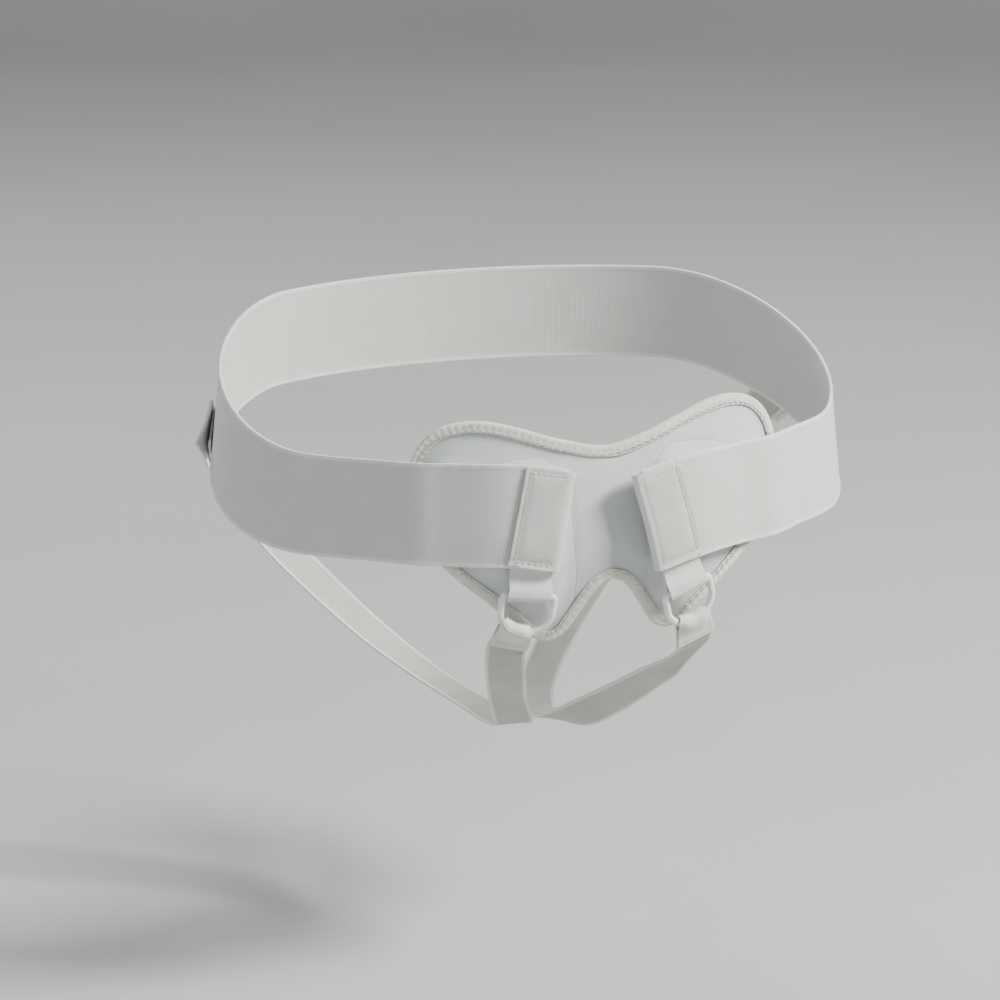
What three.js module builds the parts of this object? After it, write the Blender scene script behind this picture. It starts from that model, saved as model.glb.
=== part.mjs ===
// Hernia belt in its worn shape: millimetres, +Z up, the wearer faces -Y and +X is the wearer's left.
// The origin is the middle of the hips, at the height where the front panel sits.
// Cloth pieces are laid out on a map of the hips: "along" is the way round from the front middle,
// "height" is the level, and "lift" is how far a point stands off the hips.

import * as THREE from "three";

// The hips that the belt is shaped round
const hipHalfWidth = 163;
const hipHalfDepth = 115;
const hipFlare = 0.1; // growth of the section for each half width further down
const groinRecess = 14; // how far the front has fallen back, groinReach below groinStart
const groinStart = -15;
const groinReach = 60;

// Cloth thicknesses, and the clearance that neighbouring pieces keep
const clearance = 0.3;
const bandThickness = 1.5;
const tapeThickness = 0.8;
const tabThickness = 0.9;
const webbingThickness = 1;
const strapThickness = 1.4;

// Front panel: its outline is a table of shares of these three sizes
const panelHalfWidth = 99.5;
const lobeRise = 38.3;
const tipDrop = 74.3;
const panelTurn = 1.7; // degrees, the wearer's left side is worn a little higher
const panelShift = 0.5;
const panelEdgeThickness = 2.2;
const panelFill = 0.8; // how much thicker the panel is away from its edge
const padFill = 2.2; // how much thicker again over each groin pad
const padStart = 19; // from the middle line to the pad's near side
const padTop = 21;
const padSoftness = 12; // width of the slope round a pad
const tapeWidth = 5.6;

// Waist band
const bandWidth = 50;
const bandFrontHeight = -8.5;
const bandBackRise = 52.5;
const riseStart = 150; // way round where the band starts to climb to the back
const riseEnd = 330;
const droopStart = 58; // way round where the band's end starts to dip
const droopFull = 30;
const droopAngle = 12;
const bandSettle = 24; // the band comes down from the panel to the hips over this length

// Tabs on the band's two ends, with the webbing loop and the ring that hang from each
const tabWidth = 24.5;
const tabHeight = 48;
const tabRamp = 14;
const webbingWidth = 20;
const webbingInset = 2.4; // from the tab's folded edge to the webbing
const webbingTuck = 12; // how far the webbing runs up inside the tab
const loopDrop = 12.3; // from the band's lower edge to the middle of the ring's bar
const ringWire = 3.2;
const ringGapWidth = 21;
const ringGapHeight = 15.2;
const ringCorner = 2;

// Leg straps, and the tabs that hold them on the band behind the hips
const strapWidth = 20;
const crotchDrop = 149;
const hipTabLength = 28;
const hipTabHeight = 25;
const hipTabThickness = 2;
const hipTabAlong = 248;
const hipTabLevel = 15;
const hipTabClimb = 38; // degrees
const hipTabPeel = 5.5; // how far its front lower corner stands off

// What differs between the wearer's two sides, in millimetres and degrees
const sides = [
  { name: "right", sign: -1, tabEdge: 0.922 * tabWidth, tabTilt: 10, endLift: 0, loopShift: 0,
    loopLean: 4.4, wrapAngle: 106, turnedEnd: 0.45 * strapWidth },
  { name: "left", sign: 1, tabEdge: 0.522 * tabWidth, tabTilt: 14, endLift: 0.163 * tabWidth,
    loopShift: 0.07 * webbingWidth, loopLean: 17, wrapAngle: 88, turnedEnd: 0.7 * strapWidth },
];

// Half of the panel's outline, from the top middle round the lobe and the tip to the notch.
// out is a share of panelHalfWidth; up is a share of lobeRise above zero and of tipDrop below it.
const panelOutline = [
  { out: 0.0, up: 0.574 },
  { out: 0.22, up: 0.69 },
  { out: 0.42, up: 0.86 },
  { out: 0.58, up: 0.974 },
  { out: 0.714, up: 1.0 },
  { out: 0.845, up: 0.92 },
  { out: 0.945, up: 0.705 },
  { out: 0.998, up: 0.365 },
  { out: 0.99, up: -0.054 },
  { out: 0.915, up: -0.296 },
  { out: 0.794, up: -0.485 },
  { out: 0.623, up: -0.68 },
  { out: 0.472, up: -0.855 },
  { out: 0.382, up: -0.962 },
  { out: 0.3, up: -1.0 },
  { out: 0.226, up: -0.955 },
  { out: 0.161, up: -0.828 },
  { out: 0.095, up: -0.686 },
  { out: 0.045, up: -0.622 },
  { out: 0.0, up: -0.602 },
];

// The leg strap's way from the ring to the hip: across, back and down are shares of hipHalfWidth,
// hipHalfDepth and crotchDrop; faceOut, faceBack and faceUp give the way that its outer face looks.
const strapRoute = [
  { across: 0.267, back: -0.84, down: 0.65, faceOut: 0.45, faceBack: -0.65, faceUp: -0.55 },
  { across: 0.235, back: -0.67, down: 0.745, faceOut: 0.5, faceBack: -0.5, faceUp: -0.7 },
  { across: 0.168, back: -0.45, down: 0.85, faceOut: 0.4, faceBack: -0.35, faceUp: -0.85 },
  { across: 0.1, back: -0.22, down: 0.95, faceOut: 0.2, faceBack: -0.2, faceUp: -0.95 },
  { across: 0.071, back: 0.035, down: 1.0, faceOut: 0.0, faceBack: 0.0, faceUp: -1 },
  { across: 0.104, back: 0.296, down: 0.987, faceOut: 0.1, faceBack: 0.2, faceUp: -0.97 },
  { across: 0.209, back: 0.557, down: 0.913, faceOut: 0.25, faceBack: 0.45, faceUp: -0.85 },
  { across: 0.356, back: 0.748, down: 0.775, faceOut: 0.35, faceBack: 0.7, faceUp: -0.6 },
  { across: 0.53, back: 0.84, down: 0.58, faceOut: 0.5, faceBack: 0.8, faceUp: -0.3 },
  { across: 0.7, back: 0.765, down: 0.38, faceOut: 0.7, faceBack: 0.7, faceUp: -0.1 },
];

// Numbers of steps that the curved bodies are divided into
const bandSteps = 62;
const bandRows = 4;
const tapeSteps = 112;
const panelColumns = 60;
const panelRows = 8;
const girthSteps = 720;

const degrees = (angle) => THREE.MathUtils.degToRad(angle);
const mix = THREE.MathUtils.lerp;
const smooth = (value) => THREE.MathUtils.smoothstep(value, 0, 1);

// A share of a length whose steps are finer at its two ends, by endCare from 0 to 1
const finerEnds = (share, endCare) => mix(share, (1 - Math.cos(share * Math.PI)) / 2, endCare);

// The hips

function hipPointAtTurn(turn, height) {
  const across = Math.sin(turn);
  const front = Math.cos(turn);
  const growth = 1 - (hipFlare * height) / hipHalfWidth;
  const reach = growth / Math.hypot(across / hipHalfWidth, front / hipHalfDepth);
  const drop = Math.max(0, groinStart - height) / groinReach;
  const recess = groinRecess * drop ** 2 * Math.max(0, front) ** 2;
  return new THREE.Vector3(reach * across, recess - reach * front, height);
}

const girthTable = [0];
for (let step = 1; step <= girthSteps; step += 1) {
  const before = hipPointAtTurn(((step - 1) / girthSteps) * Math.PI * 2, 0);
  const after = hipPointAtTurn((step / girthSteps) * Math.PI * 2, 0);
  girthTable.push(girthTable[step - 1] + before.distanceTo(after));
}
const girth = girthTable[girthSteps];

function turnAt(along) {
  const distance = ((along % girth) + girth) % girth;
  let step = 1;
  while (girthTable[step] < distance && step < girthSteps) step += 1;
  const stepLength = girthTable[step] - girthTable[step - 1];
  const share = (distance - girthTable[step - 1]) / stepLength;
  return ((step - 1 + share) / girthSteps) * Math.PI * 2;
}

function hipNormal(along, height) {
  const near = 0.5;
  const sideways = hipPointAtTurn(turnAt(along + near), height)
    .sub(hipPointAtTurn(turnAt(along - near), height));
  const upward = hipPointAtTurn(turnAt(along), height + near)
    .sub(hipPointAtTurn(turnAt(along), height - near));
  return sideways.cross(upward).normalize();
}

function onHips(along, height, lift) {
  return hipPointAtTurn(turnAt(along), height).addScaledVector(hipNormal(along, height), lift);
}

// Closed bodies from grids of points

function closedGeometry(points, triangles) {
  let volume = 0;
  for (const [a, b, c] of triangles) {
    volume += points[a].dot(new THREE.Vector3().crossVectors(points[b], points[c]));
  }
  const faces = volume > 0 ? triangles : triangles.map(([a, b, c]) => [a, c, b]);
  const geometry = new THREE.BufferGeometry();
  geometry.setAttribute("position", new THREE.Float32BufferAttribute(
    points.flatMap((point) => point.toArray()), 3));
  geometry.setIndex(faces.flat());
  geometry.computeVertexNormals();
  return geometry;
}

// A cloth body: pointAt(columnShare, rowShare, face) gives its inner face 0 and outer face 1
function clothBody(columns, rows, pointAt) {
  const points = [];
  const triangles = [];
  const index = (column, row, face) => (face * (columns + 1) + column) * (rows + 1) + row;
  for (const face of [0, 1]) {
    for (let column = 0; column <= columns; column += 1) {
      for (let row = 0; row <= rows; row += 1) {
        points.push(pointAt(column / columns, row / rows, face));
      }
    }
  }
  const addQuad = (a, b, c, d) => triangles.push([a, b, c], [a, c, d]);
  for (let column = 0; column < columns; column += 1) {
    for (let row = 0; row < rows; row += 1) {
      for (const face of [0, 1]) {
        const corners = [index(column, row, face), index(column + 1, row, face),
          index(column + 1, row + 1, face), index(column, row + 1, face)];
        addQuad(...(face === 1 ? corners : corners.reverse()));
      }
    }
    addQuad(index(column, 0, 0), index(column + 1, 0, 0), index(column + 1, 0, 1), index(column, 0, 1));
    addQuad(index(column + 1, rows, 0), index(column, rows, 0),
      index(column, rows, 1), index(column + 1, rows, 1));
  }
  for (let row = 0; row < rows; row += 1) {
    addQuad(index(0, row + 1, 0), index(0, row, 0), index(0, row, 1), index(0, row + 1, 1));
    addQuad(index(columns, row, 0), index(columns, row + 1, 0),
      index(columns, row + 1, 1), index(columns, row, 1));
  }
  return closedGeometry(points, triangles);
}

// A body that closes on itself both ways, such as a ring: pointAt(step, side)
function ringBody(steps, sidesRound, pointAt) {
  const points = [];
  const triangles = [];
  for (let step = 0; step < steps; step += 1) {
    for (let side = 0; side < sidesRound; side += 1) {
      points.push(pointAt(step, side));
      const nextStep = (step + 1) % steps;
      const nextSide = (side + 1) % sidesRound;
      const corners = [step * sidesRound + side, nextStep * sidesRound + side,
        nextStep * sidesRound + nextSide, step * sidesRound + nextSide];
      triangles.push([corners[0], corners[1], corners[2]], [corners[0], corners[2], corners[3]]);
    }
  }
  return closedGeometry(points, triangles);
}

function namedMesh(name, geometry, look) {
  const mesh = new THREE.Mesh(geometry, new THREE.MeshStandardMaterial({ metalness: 0, ...look }));
  mesh.name = name;
  return mesh;
}

// The front panel, and the tape folded over its edge

function panelPlace(out, up) {
  const turn = degrees(panelTurn);
  return new THREE.Vector2(
    panelShift + out * Math.cos(turn) - up * Math.sin(turn),
    out * Math.sin(turn) + up * Math.cos(turn));
}

function outlinePoint(row, side) {
  const up = row.up * (row.up > 0 ? lobeRise : tipDrop);
  const place = panelPlace(side * row.out * panelHalfWidth, up);
  return new THREE.Vector3(place.x, place.y, 0);
}

const mirroredRows = panelOutline.slice(1, -1).reverse();
const outlineCurve = new THREE.CatmullRomCurve3([
  ...panelOutline.map((row) => outlinePoint(row, 1)),
  ...mirroredRows.map((row) => outlinePoint(row, -1)),
], true, "centripetal");
outlineCurve.arcLengthDivisions = tapeSteps * 10;
const outline = outlineCurve.getSpacedPoints(tapeSteps).slice(0, tapeSteps);

const outlineInward = outline.map((point, step) => {
  const before = outline[(step + tapeSteps - 1) % tapeSteps];
  const after = outline[(step + 1) % tapeSteps];
  const way = after.clone().sub(before).normalize();
  return new THREE.Vector2(way.y, -way.x);
});

function insetOutline(inset) {
  return outline.map((point, step) => new THREE.Vector2(
    point.x + outlineInward[step].x * inset, point.y + outlineInward[step].y * inset));
}

function distanceToOutline(along, height) {
  let nearest = Infinity;
  for (let step = 0; step < tapeSteps; step += 1) {
    const start = outline[step];
    const end = outline[(step + 1) % tapeSteps];
    const wayX = end.x - start.x;
    const wayY = end.y - start.y;
    const share = THREE.MathUtils.clamp(
      ((along - start.x) * wayX + (height - start.y) * wayY) / (wayX ** 2 + wayY ** 2), 0, 1);
    nearest = Math.min(nearest,
      Math.hypot(along - start.x - share * wayX, height - start.y - share * wayY));
  }
  return nearest;
}

// The lowest and highest level of a closed outline at one place along the hips
function levelsAt(closedOutline, along) {
  const levels = [];
  closedOutline.forEach((start, step) => {
    const end = closedOutline[(step + 1) % closedOutline.length];
    if ((start.x - along) * (end.x - along) < 0) {
      levels.push(mix(start.y, end.y, (along - start.x) / (end.x - start.x)));
    }
  });
  return [Math.min(...levels), Math.max(...levels)];
}

const panelBackLift = tapeThickness + clearance;
const panelEdgeLift = panelBackLift + panelEdgeThickness;
const panelPadLift = panelEdgeLift + panelFill + padFill;

function panelLift(along, height) {
  const inside = smooth((distanceToOutline(along, height) - tapeWidth - 1) / padSoftness);
  const pastMiddle = smooth((Math.abs(along - panelShift) - padStart) / padSoftness);
  const belowTop = smooth((padTop - height) / padSoftness);
  return panelEdgeLift + inside * (panelFill + padFill * pastMiddle * belowTop);
}

function frontPanel() {
  const cut = insetOutline(tapeThickness + 3 * clearance);
  const leftEnd = Math.min(...cut.map((point) => point.x)) + clearance;
  const rightEnd = Math.max(...cut.map((point) => point.x)) - clearance;
  return clothBody(panelColumns, panelRows, (columnShare, rowShare, face) => {
    const along = mix(leftEnd, rightEnd, finerEnds(columnShare, 0.4));
    const [low, high] = levelsAt(cut, along);
    const height = mix(low, high, finerEnds(rowShare, 0.8));
    return onHips(along, height, face === 1 ? panelLift(along, height) : panelBackLift);
  });
}

const tapeTopLift = panelEdgeLift + clearance + tapeThickness;

function panelBinding() {
  const round = tapeThickness;
  const section = [
    { inward: tapeWidth, lift: 0 },
    { inward: round, lift: 0 },
    { inward: 0, lift: round },
    { inward: 0, lift: tapeTopLift - round },
    { inward: round, lift: tapeTopLift },
    { inward: tapeWidth, lift: tapeTopLift },
    { inward: tapeWidth, lift: tapeTopLift - tapeThickness },
    { inward: tapeThickness, lift: tapeTopLift - tapeThickness },
    { inward: tapeThickness, lift: tapeThickness },
    { inward: tapeWidth, lift: tapeThickness },
  ];
  return ringBody(tapeSteps, section.length, (step, side) => {
    const { inward, lift } = section[side];
    const along = outline[step].x + outlineInward[step].x * inward;
    const height = outline[step].y + outlineInward[step].y * inward;
    return onHips(along, height, lift);
  });
}

// The waist band: its middle line and its lift, by the way round from the front middle

function bandLevel(way) {
  const climb = smooth((way - riseStart) / (riseEnd - riseStart));
  const droopLength = droopStart - droopFull;
  const pastStart = Math.max(0, droopStart - way);
  const slope = Math.tan(degrees(droopAngle));
  const droop = pastStart < droopLength
    ? (slope * pastStart ** 2) / (2 * droopLength)
    : slope * (pastStart - droopLength / 2);
  return bandFrontHeight + bandBackRise * climb - droop;
}

const bandOnPanelLift = panelPadLift + clearance;
const webbingTongue = 2 * webbingThickness + clearance;
const tabStackLift = tabThickness + webbingTongue + 2 * clearance;

function tabReach(side) {
  return tabWidth + (tabHeight / 2) * Math.sin(degrees(side.tabTilt));
}

// How far a band's end stands off the panel, as on the wearer's left
function standOff(way, side) {
  const length = tabReach(side) + tabRamp;
  return side.endLift * smooth((side.tabEdge + length - way) / length);
}

function bandLift(way, side) {
  const offPanel = smooth((way - panelHalfWidth + bandSettle / 2) / (1.5 * bandSettle));
  const inTab = smooth((side.tabEdge + tabReach(side) + tabRamp - way) / tabRamp);
  return mix(bandOnPanelLift, 0, offPanel) + tabStackLift * inTab + standOff(way, side);
}

const [rightSide, leftSide] = sides;
const bandEndInset = tabThickness + 2 * clearance + webbingTongue;

function waistBand() {
  const start = leftSide.tabEdge + bandEndInset;
  const end = girth - rightSide.tabEdge - bandEndInset;
  return clothBody(bandSteps, bandRows, (columnShare, rowShare, face) => {
    const along = mix(start, end, finerEnds(columnShare, 0.6));
    const onRight = along > girth / 2;
    const way = onRight ? girth - along : along;
    const side = onRight ? rightSide : leftSide;
    const nearby = 1;
    const slope = (bandLevel(way + nearby) - bandLevel(way - nearby)) / (2 * nearby);
    const square = smooth((droopStart - way) / (droopStart - droopFull));
    const upward = (rowShare - 0.5) * bandWidth;
    const height = bandLevel(way) + upward * mix(Math.hypot(1, slope), 1 / Math.hypot(1, slope), square);
    const sideways = upward * (slope / Math.hypot(1, slope)) * square;
    const place = onRight ? along + sideways : along - sideways;
    return onHips(place, height, bandLift(way - sideways, side) + face * bandThickness);
  });
}

// The folded tab on each end of the band, measured across from its fold and down from its middle

function onTab(side, across, down, lift) {
  const tilt = degrees(side.tabTilt);
  const fromMiddle = across - tabWidth / 2;
  const middle = side.tabEdge + tabWidth / 2;
  const way = middle + fromMiddle * Math.cos(tilt) + down * Math.sin(tilt);
  const height = bandLevel(middle) + fromMiddle * Math.sin(tilt) - down * Math.cos(tilt);
  return { way, height, lift: bandOnPanelLift + standOff(way, side) + lift };
}

const tabFrontLift = tabStackLift + bandThickness + clearance;
const foldInside = (tabFrontLift - tabThickness) / 2;
const foldOutside = foldInside + tabThickness;
const foldMiddle = (tabFrontLift + tabThickness) / 2;

function endTab(side) {
  const flatSteps = 4;
  const foldSteps = 8;
  const columns = 2 * flatSteps + foldSteps;
  return clothBody(columns, 7, (columnShare, rowShare, face) => {
    const step = columnShare * columns;
    const radius = face === 1 ? foldOutside : foldInside;
    const angle = THREE.MathUtils.clamp((step - flatSteps) / foldSteps, 0, 1) * Math.PI;
    const flat = Math.max(flatSteps - step, step - flatSteps - foldSteps, 0) / flatSteps;
    const across = mix(foldOutside - radius * Math.sin(angle), tabWidth, flat);
    const place = onTab(side, across, (rowShare - 0.5) * tabHeight,
      foldMiddle + radius * Math.cos(angle));
    return onHips(side.sign * place.way, place.height, place.lift);
  });
}

// The webbing loop and its ring hang in a frame of their own: across, down from the band's lower
// edge, and lift from the webbing's middle

function hangPoint(side, across, down, lift) {
  const rootAcross = webbingInset + side.loopShift + webbingWidth / 2;
  const root = onTab(side, rootAcross, bandWidth / 2, 0);
  const lean = degrees(side.loopLean);
  const way = root.way + across * Math.cos(lean) + down * Math.sin(lean);
  const height = root.height + across * Math.sin(lean) - down * Math.cos(lean);
  const webbingMiddle = tabThickness + clearance + webbingTongue / 2;
  return onHips(side.sign * way, height,
    bandOnPanelLift + standOff(way, side) + webbingMiddle + lift);
}

// The webbing's back lies flat, so the ring's bar sits forward of the webbing's middle
const eyeInside = ringWire / 2 + clearance;
const eyeOutside = eyeInside + webbingThickness;
const ringLift = eyeOutside - webbingThickness - clearance / 2;

function ringPoint(side, across, down, lift) {
  return hangPoint(side, across, loopDrop + down, ringLift + lift);
}

// The webbing runs down flat, round the bar and slanting back up to lie on itself inside the tab
function ringLoop(side) {
  const downSteps = 7;
  const turnSteps = 9;
  const slantSteps = 3;
  const upSteps = 3;
  const columns = downSteps + turnSteps + slantSteps + upSteps;
  const neckDown = loopDrop - 3 * eyeOutside;
  return clothBody(columns, 4, (columnShare, rowShare, face) => {
    const step = Math.round(columnShare * columns);
    const across = (rowShare - 0.5) * webbingWidth;
    const layerLift = clearance / 2 + face * webbingThickness;
    if (step <= downSteps) {
      return hangPoint(side, across, mix(-webbingTuck, loopDrop, step / downSteps), -layerLift);
    }
    const turned = Math.min(1, (step - downSteps) / turnSteps);
    const angle = degrees(mix(-90, 113, turned));
    const radius = eyeInside + face * webbingThickness;
    const slanted = THREE.MathUtils.clamp((step - downSteps - turnSteps) / slantSteps, 0, 1);
    const down = mix(loopDrop + radius * Math.cos(angle), neckDown, slanted);
    const lift = mix(ringLift + radius * Math.sin(angle), layerLift, slanted);
    const gone = Math.max(0, step - downSteps - turnSteps - slantSteps) / upSteps;
    return hangPoint(side, across, mix(down, -webbingTuck, gone), lift);
  });
}

const ringHalfWidth = (ringGapWidth + ringWire) / 2;
const ringHeight = ringGapHeight + ringWire;
const bowDepth = 0.55 * ringHeight;
const bowStart = ringHeight - bowDepth;

// The ring's round end: 0 degrees is its side near the middle line, 90 its lowest point
function bowPoint(angle) {
  return new THREE.Vector2(
    -ringHalfWidth * Math.cos(degrees(angle)), bowStart + bowDepth * Math.sin(degrees(angle)));
}

function bowInward(angle) {
  return new THREE.Vector2(
    bowDepth * Math.cos(degrees(angle)), -ringHalfWidth * Math.sin(degrees(angle))).normalize();
}

function dRing(side) {
  const path = new THREE.Path();
  path.moveTo(-ringHalfWidth + ringCorner, 0);
  path.lineTo(ringHalfWidth - ringCorner, 0);
  path.absarc(ringHalfWidth - ringCorner, ringCorner, ringCorner, -Math.PI / 2, 0, false);
  path.lineTo(ringHalfWidth, bowStart);
  path.absellipse(0, bowStart, ringHalfWidth, bowDepth, 0, Math.PI, false, 0);
  path.lineTo(-ringHalfWidth, ringCorner);
  path.absarc(-ringHalfWidth + ringCorner, ringCorner, ringCorner, Math.PI, Math.PI * 1.5, false);
  const steps = 34;
  const wireSides = 8;
  const middle = path.getSpacedPoints(steps).slice(0, steps);
  return ringBody(steps, wireSides, (step, wireSide) => {
    const before = middle[(step + steps - 1) % steps];
    const after = middle[(step + 1) % steps];
    const way = after.clone().sub(before).normalize();
    const angle = ((wireSide + 0.5) / wireSides) * Math.PI * 2;
    const outward = (ringWire / 2) * Math.cos(angle);
    return ringPoint(side, middle[step].x + way.y * outward,
      middle[step].y - way.x * outward, (ringWire / 2) * Math.sin(angle));
  });
}

// The leg strap

const wrapInside = eyeInside;
const wrapSettle = 8; // the two layers come together over this length below the ring
const wrapStraighten = 12;
const wrapSpan = 88; // degrees of the ring's round end that the strap covers

// A point of the strap near its ring, down from the wire, on the front or the back layer
function wrapPoint(side, rowShare, down, lift) {
  const angle = side.wrapAngle + (rowShare - 0.5) * wrapSpan;
  const pull = bowInward(side.wrapAngle).negate();
  const acrossWay = new THREE.Vector2(pull.y, -pull.x);
  const curved = bowPoint(angle).addScaledVector(pull, down);
  const straight = bowPoint(side.wrapAngle).addScaledVector(pull, down)
    .addScaledVector(acrossWay, (rowShare - 0.5) * strapWidth);
  const place = curved.lerp(straight, smooth(down / wrapStraighten));
  return ringPoint(side, place.x, place.y, lift);
}

function layerLift(down, face) {
  const inner = mix(wrapInside, clearance / 2, smooth(down / wrapSettle));
  return inner + face * strapThickness;
}

function hairpinPoint(side, rowShare, turn, face) {
  const angle = side.wrapAngle + (rowShare - 0.5) * wrapSpan;
  const radius = wrapInside + face * strapThickness;
  const place = bowPoint(angle).addScaledVector(bowInward(angle), radius * Math.sin(turn));
  return ringPoint(side, place.x, place.y, radius * Math.cos(turn));
}

// A place on the hip where the strap comes up to its tab, back from the tab's front edge
function onHipTab(side, back, up, lift) {
  const climb = degrees(hipTabClimb);
  const way = hipTabAlong + back * Math.cos(climb) + up * Math.sin(climb);
  const height = hipTabLevel - back * Math.sin(climb) + up * Math.cos(climb);
  return onHips(side.sign * way, height, lift);
}

function strapMiddle(side) {
  const facing = ringPoint(side, 0, 0, 1).sub(ringPoint(side, 0, 0, 0)).normalize();
  const onBand = bandThickness + clearance + strapThickness / 2;
  const lastTurned = wrapPoint(side, 0.5, wrapStraighten, -clearance / 2 - strapThickness / 2);
  const places = [{ point: lastTurned, face: facing }];
  for (const row of strapRoute) {
    places.push({
      point: new THREE.Vector3(side.sign * row.across * hipHalfWidth,
        row.back * hipHalfDepth, -row.down * crotchDrop),
      face: new THREE.Vector3(side.sign * row.faceOut, row.faceBack, row.faceUp).normalize(),
    });
  }
  for (const backShare of [2, 1.4, 1, 0.7, 0.4, 0.12]) {
    const back = backShare * hipTabLength;
    const point = onHipTab(side, back, 0, onBand);
    places.push({ point, face: onHipTab(side, back, 0, onBand + 1).sub(point).normalize() });
  }
  return places;
}

function legStrap(side) {
  const endSteps = 3;
  const hairpinSteps = 6;
  const backSteps = 4;
  const routeSteps = 44;
  const columns = endSteps + hairpinSteps + backSteps + routeSteps;
  const places = strapMiddle(side);
  const curve = new THREE.CatmullRomCurve3(places.map((place) => place.point), false, "centripetal");
  const faceCurve = new THREE.CatmullRomCurve3(places.map((place) => place.face), false, "centripetal");
  return clothBody(columns, 4, (columnShare, rowShare, face) => {
    let step = Math.round(columnShare * columns);
    if (step <= endSteps) {
      const down = side.turnedEnd * (1 - step / endSteps);
      return wrapPoint(side, rowShare, down, layerLift(down, face));
    }
    step -= endSteps;
    if (step <= hairpinSteps) {
      return hairpinPoint(side, rowShare, (step / hairpinSteps) * Math.PI, face);
    }
    step -= hairpinSteps;
    if (step <= backSteps) {
      const down = (wrapStraighten * step) / backSteps;
      return wrapPoint(side, rowShare, down, -layerLift(down, face));
    }
    const share = curve.getUtoTmapping((step - backSteps) / routeSteps);
    const point = curve.getPoint(share);
    const way = curve.getTangent(share);
    const facing = faceCurve.getPoint(share);
    facing.addScaledVector(way, -facing.dot(way)).normalize();
    const across = new THREE.Vector3().crossVectors(facing, way).multiplyScalar(side.sign);
    return point.addScaledVector(across, (rowShare - 0.5) * strapWidth)
      .addScaledVector(facing, (0.5 - face) * strapThickness);
  });
}

function hipTab(side) {
  const underLift = bandThickness + strapThickness + 2 * clearance;
  return clothBody(8, 6, (columnShare, rowShare, face) => {
    const peel = hipTabPeel * ((1 - columnShare) * (1 - rowShare)) ** 2;
    return onHipTab(side, columnShare * hipTabLength, (rowShare - 0.5) * hipTabHeight,
      underLift + peel + face * hipTabThickness);
  });
}

const panelWhite = { color: 0xd9dedd, roughness: 0.75 };
const tapeCream = { color: 0xdcd9cf, roughness: 0.85 };
const bandWhite = { color: 0xd2d1cd, roughness: 0.9 };
const webbingWhite = { color: 0xd8d6d0, roughness: 0.85 };
const plasticWhite = { color: 0xe2e1dc, roughness: 0.4 };
const strapWhite = { color: 0xc9c4bc, roughness: 0.9 };

const belt = new THREE.Group();
belt.add(namedMesh("waist_band", waistBand(), bandWhite));
belt.add(namedMesh("front_panel", frontPanel(), panelWhite));
belt.add(namedMesh("panel_binding", panelBinding(), tapeCream));
for (const side of sides) {
  belt.add(namedMesh(`end_tab_${side.name}`, endTab(side), webbingWhite));
  belt.add(namedMesh(`ring_loop_${side.name}`, ringLoop(side), webbingWhite));
  belt.add(namedMesh(`d_ring_${side.name}`, dRing(side), plasticWhite));
  belt.add(namedMesh(`leg_strap_${side.name}`, legStrap(side), strapWhite));
  belt.add(namedMesh(`hip_tab_${side.name}`, hipTab(side), webbingWhite));
}

export default belt;
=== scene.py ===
# %% [markdown]
# # A hernia belt, finished in Blender
# The belt is shown as it is worn: an elastic band round the hips, a padded front panel with a
# taped edge, and two elastic leg straps that hang from rings. The solid model gives every place
# and size. This lesson makes each cloth piece again, as a maker would: cut flat, thickened,
# wrapped round the hips, and then sewn. Lengths are in metres, +Z is up and the front faces -Y.

# %% Load the frame that every piece has to fit
import bpy
import math
import numpy as np
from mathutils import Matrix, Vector


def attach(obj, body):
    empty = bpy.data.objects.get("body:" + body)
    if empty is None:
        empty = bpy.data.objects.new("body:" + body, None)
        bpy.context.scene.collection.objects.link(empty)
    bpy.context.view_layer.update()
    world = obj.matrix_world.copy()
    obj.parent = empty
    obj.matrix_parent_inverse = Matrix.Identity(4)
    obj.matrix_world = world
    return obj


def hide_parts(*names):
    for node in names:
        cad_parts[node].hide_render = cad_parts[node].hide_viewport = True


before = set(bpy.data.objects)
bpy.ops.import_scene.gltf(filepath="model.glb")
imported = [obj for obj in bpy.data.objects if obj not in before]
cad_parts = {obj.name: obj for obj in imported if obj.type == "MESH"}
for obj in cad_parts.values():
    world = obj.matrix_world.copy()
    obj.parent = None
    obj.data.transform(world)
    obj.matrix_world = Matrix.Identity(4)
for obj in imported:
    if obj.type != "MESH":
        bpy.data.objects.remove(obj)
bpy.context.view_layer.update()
MM = 0.001

# %% [markdown]
# ## The hips as a map
# The pieces are soft, so they have no shape of their own: the hips give it. We could shape each
# piece by eye, but then no two would lie on the same hips. Instead one formula describes them, an
# oval that widens downwards and falls back at the groin. A place on it is "along" (the way round
# from the front middle), "height", and "lift" (how far off the surface). The sizes are those that
# the solid model was built with.

# %% Sizes of the hips
HIP_HALF_WIDTH = 163 * MM
HIP_HALF_DEPTH = 115 * MM
HIP_FLARE = 0.1
GROIN_RECESS = 14 * MM
GROIN_START = -15 * MM
GROIN_REACH = 60 * MM
CLEARANCE = 0.3 * MM


def smooth(value):
    value = np.clip(value, 0, 1)
    return value * value * (3 - 2 * value)


def mix(start, end, share):
    return start + (end - start) * share


def hip_point(turn, height):
    across, front = np.sin(turn), np.cos(turn)
    growth = 1 - HIP_FLARE * height / HIP_HALF_WIDTH
    reach = growth / np.hypot(across / HIP_HALF_WIDTH, front / HIP_HALF_DEPTH)
    drop = np.maximum(0, GROIN_START - height) / GROIN_REACH
    recess = GROIN_RECESS * drop ** 2 * np.maximum(0, front) ** 2
    return np.stack([reach * across, recess - reach * front, height + 0 * reach], axis=-1)


print("hips, mm across and deep:", round(2 * HIP_HALF_WIDTH / MM), round(2 * HIP_HALF_DEPTH / MM))


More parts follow.
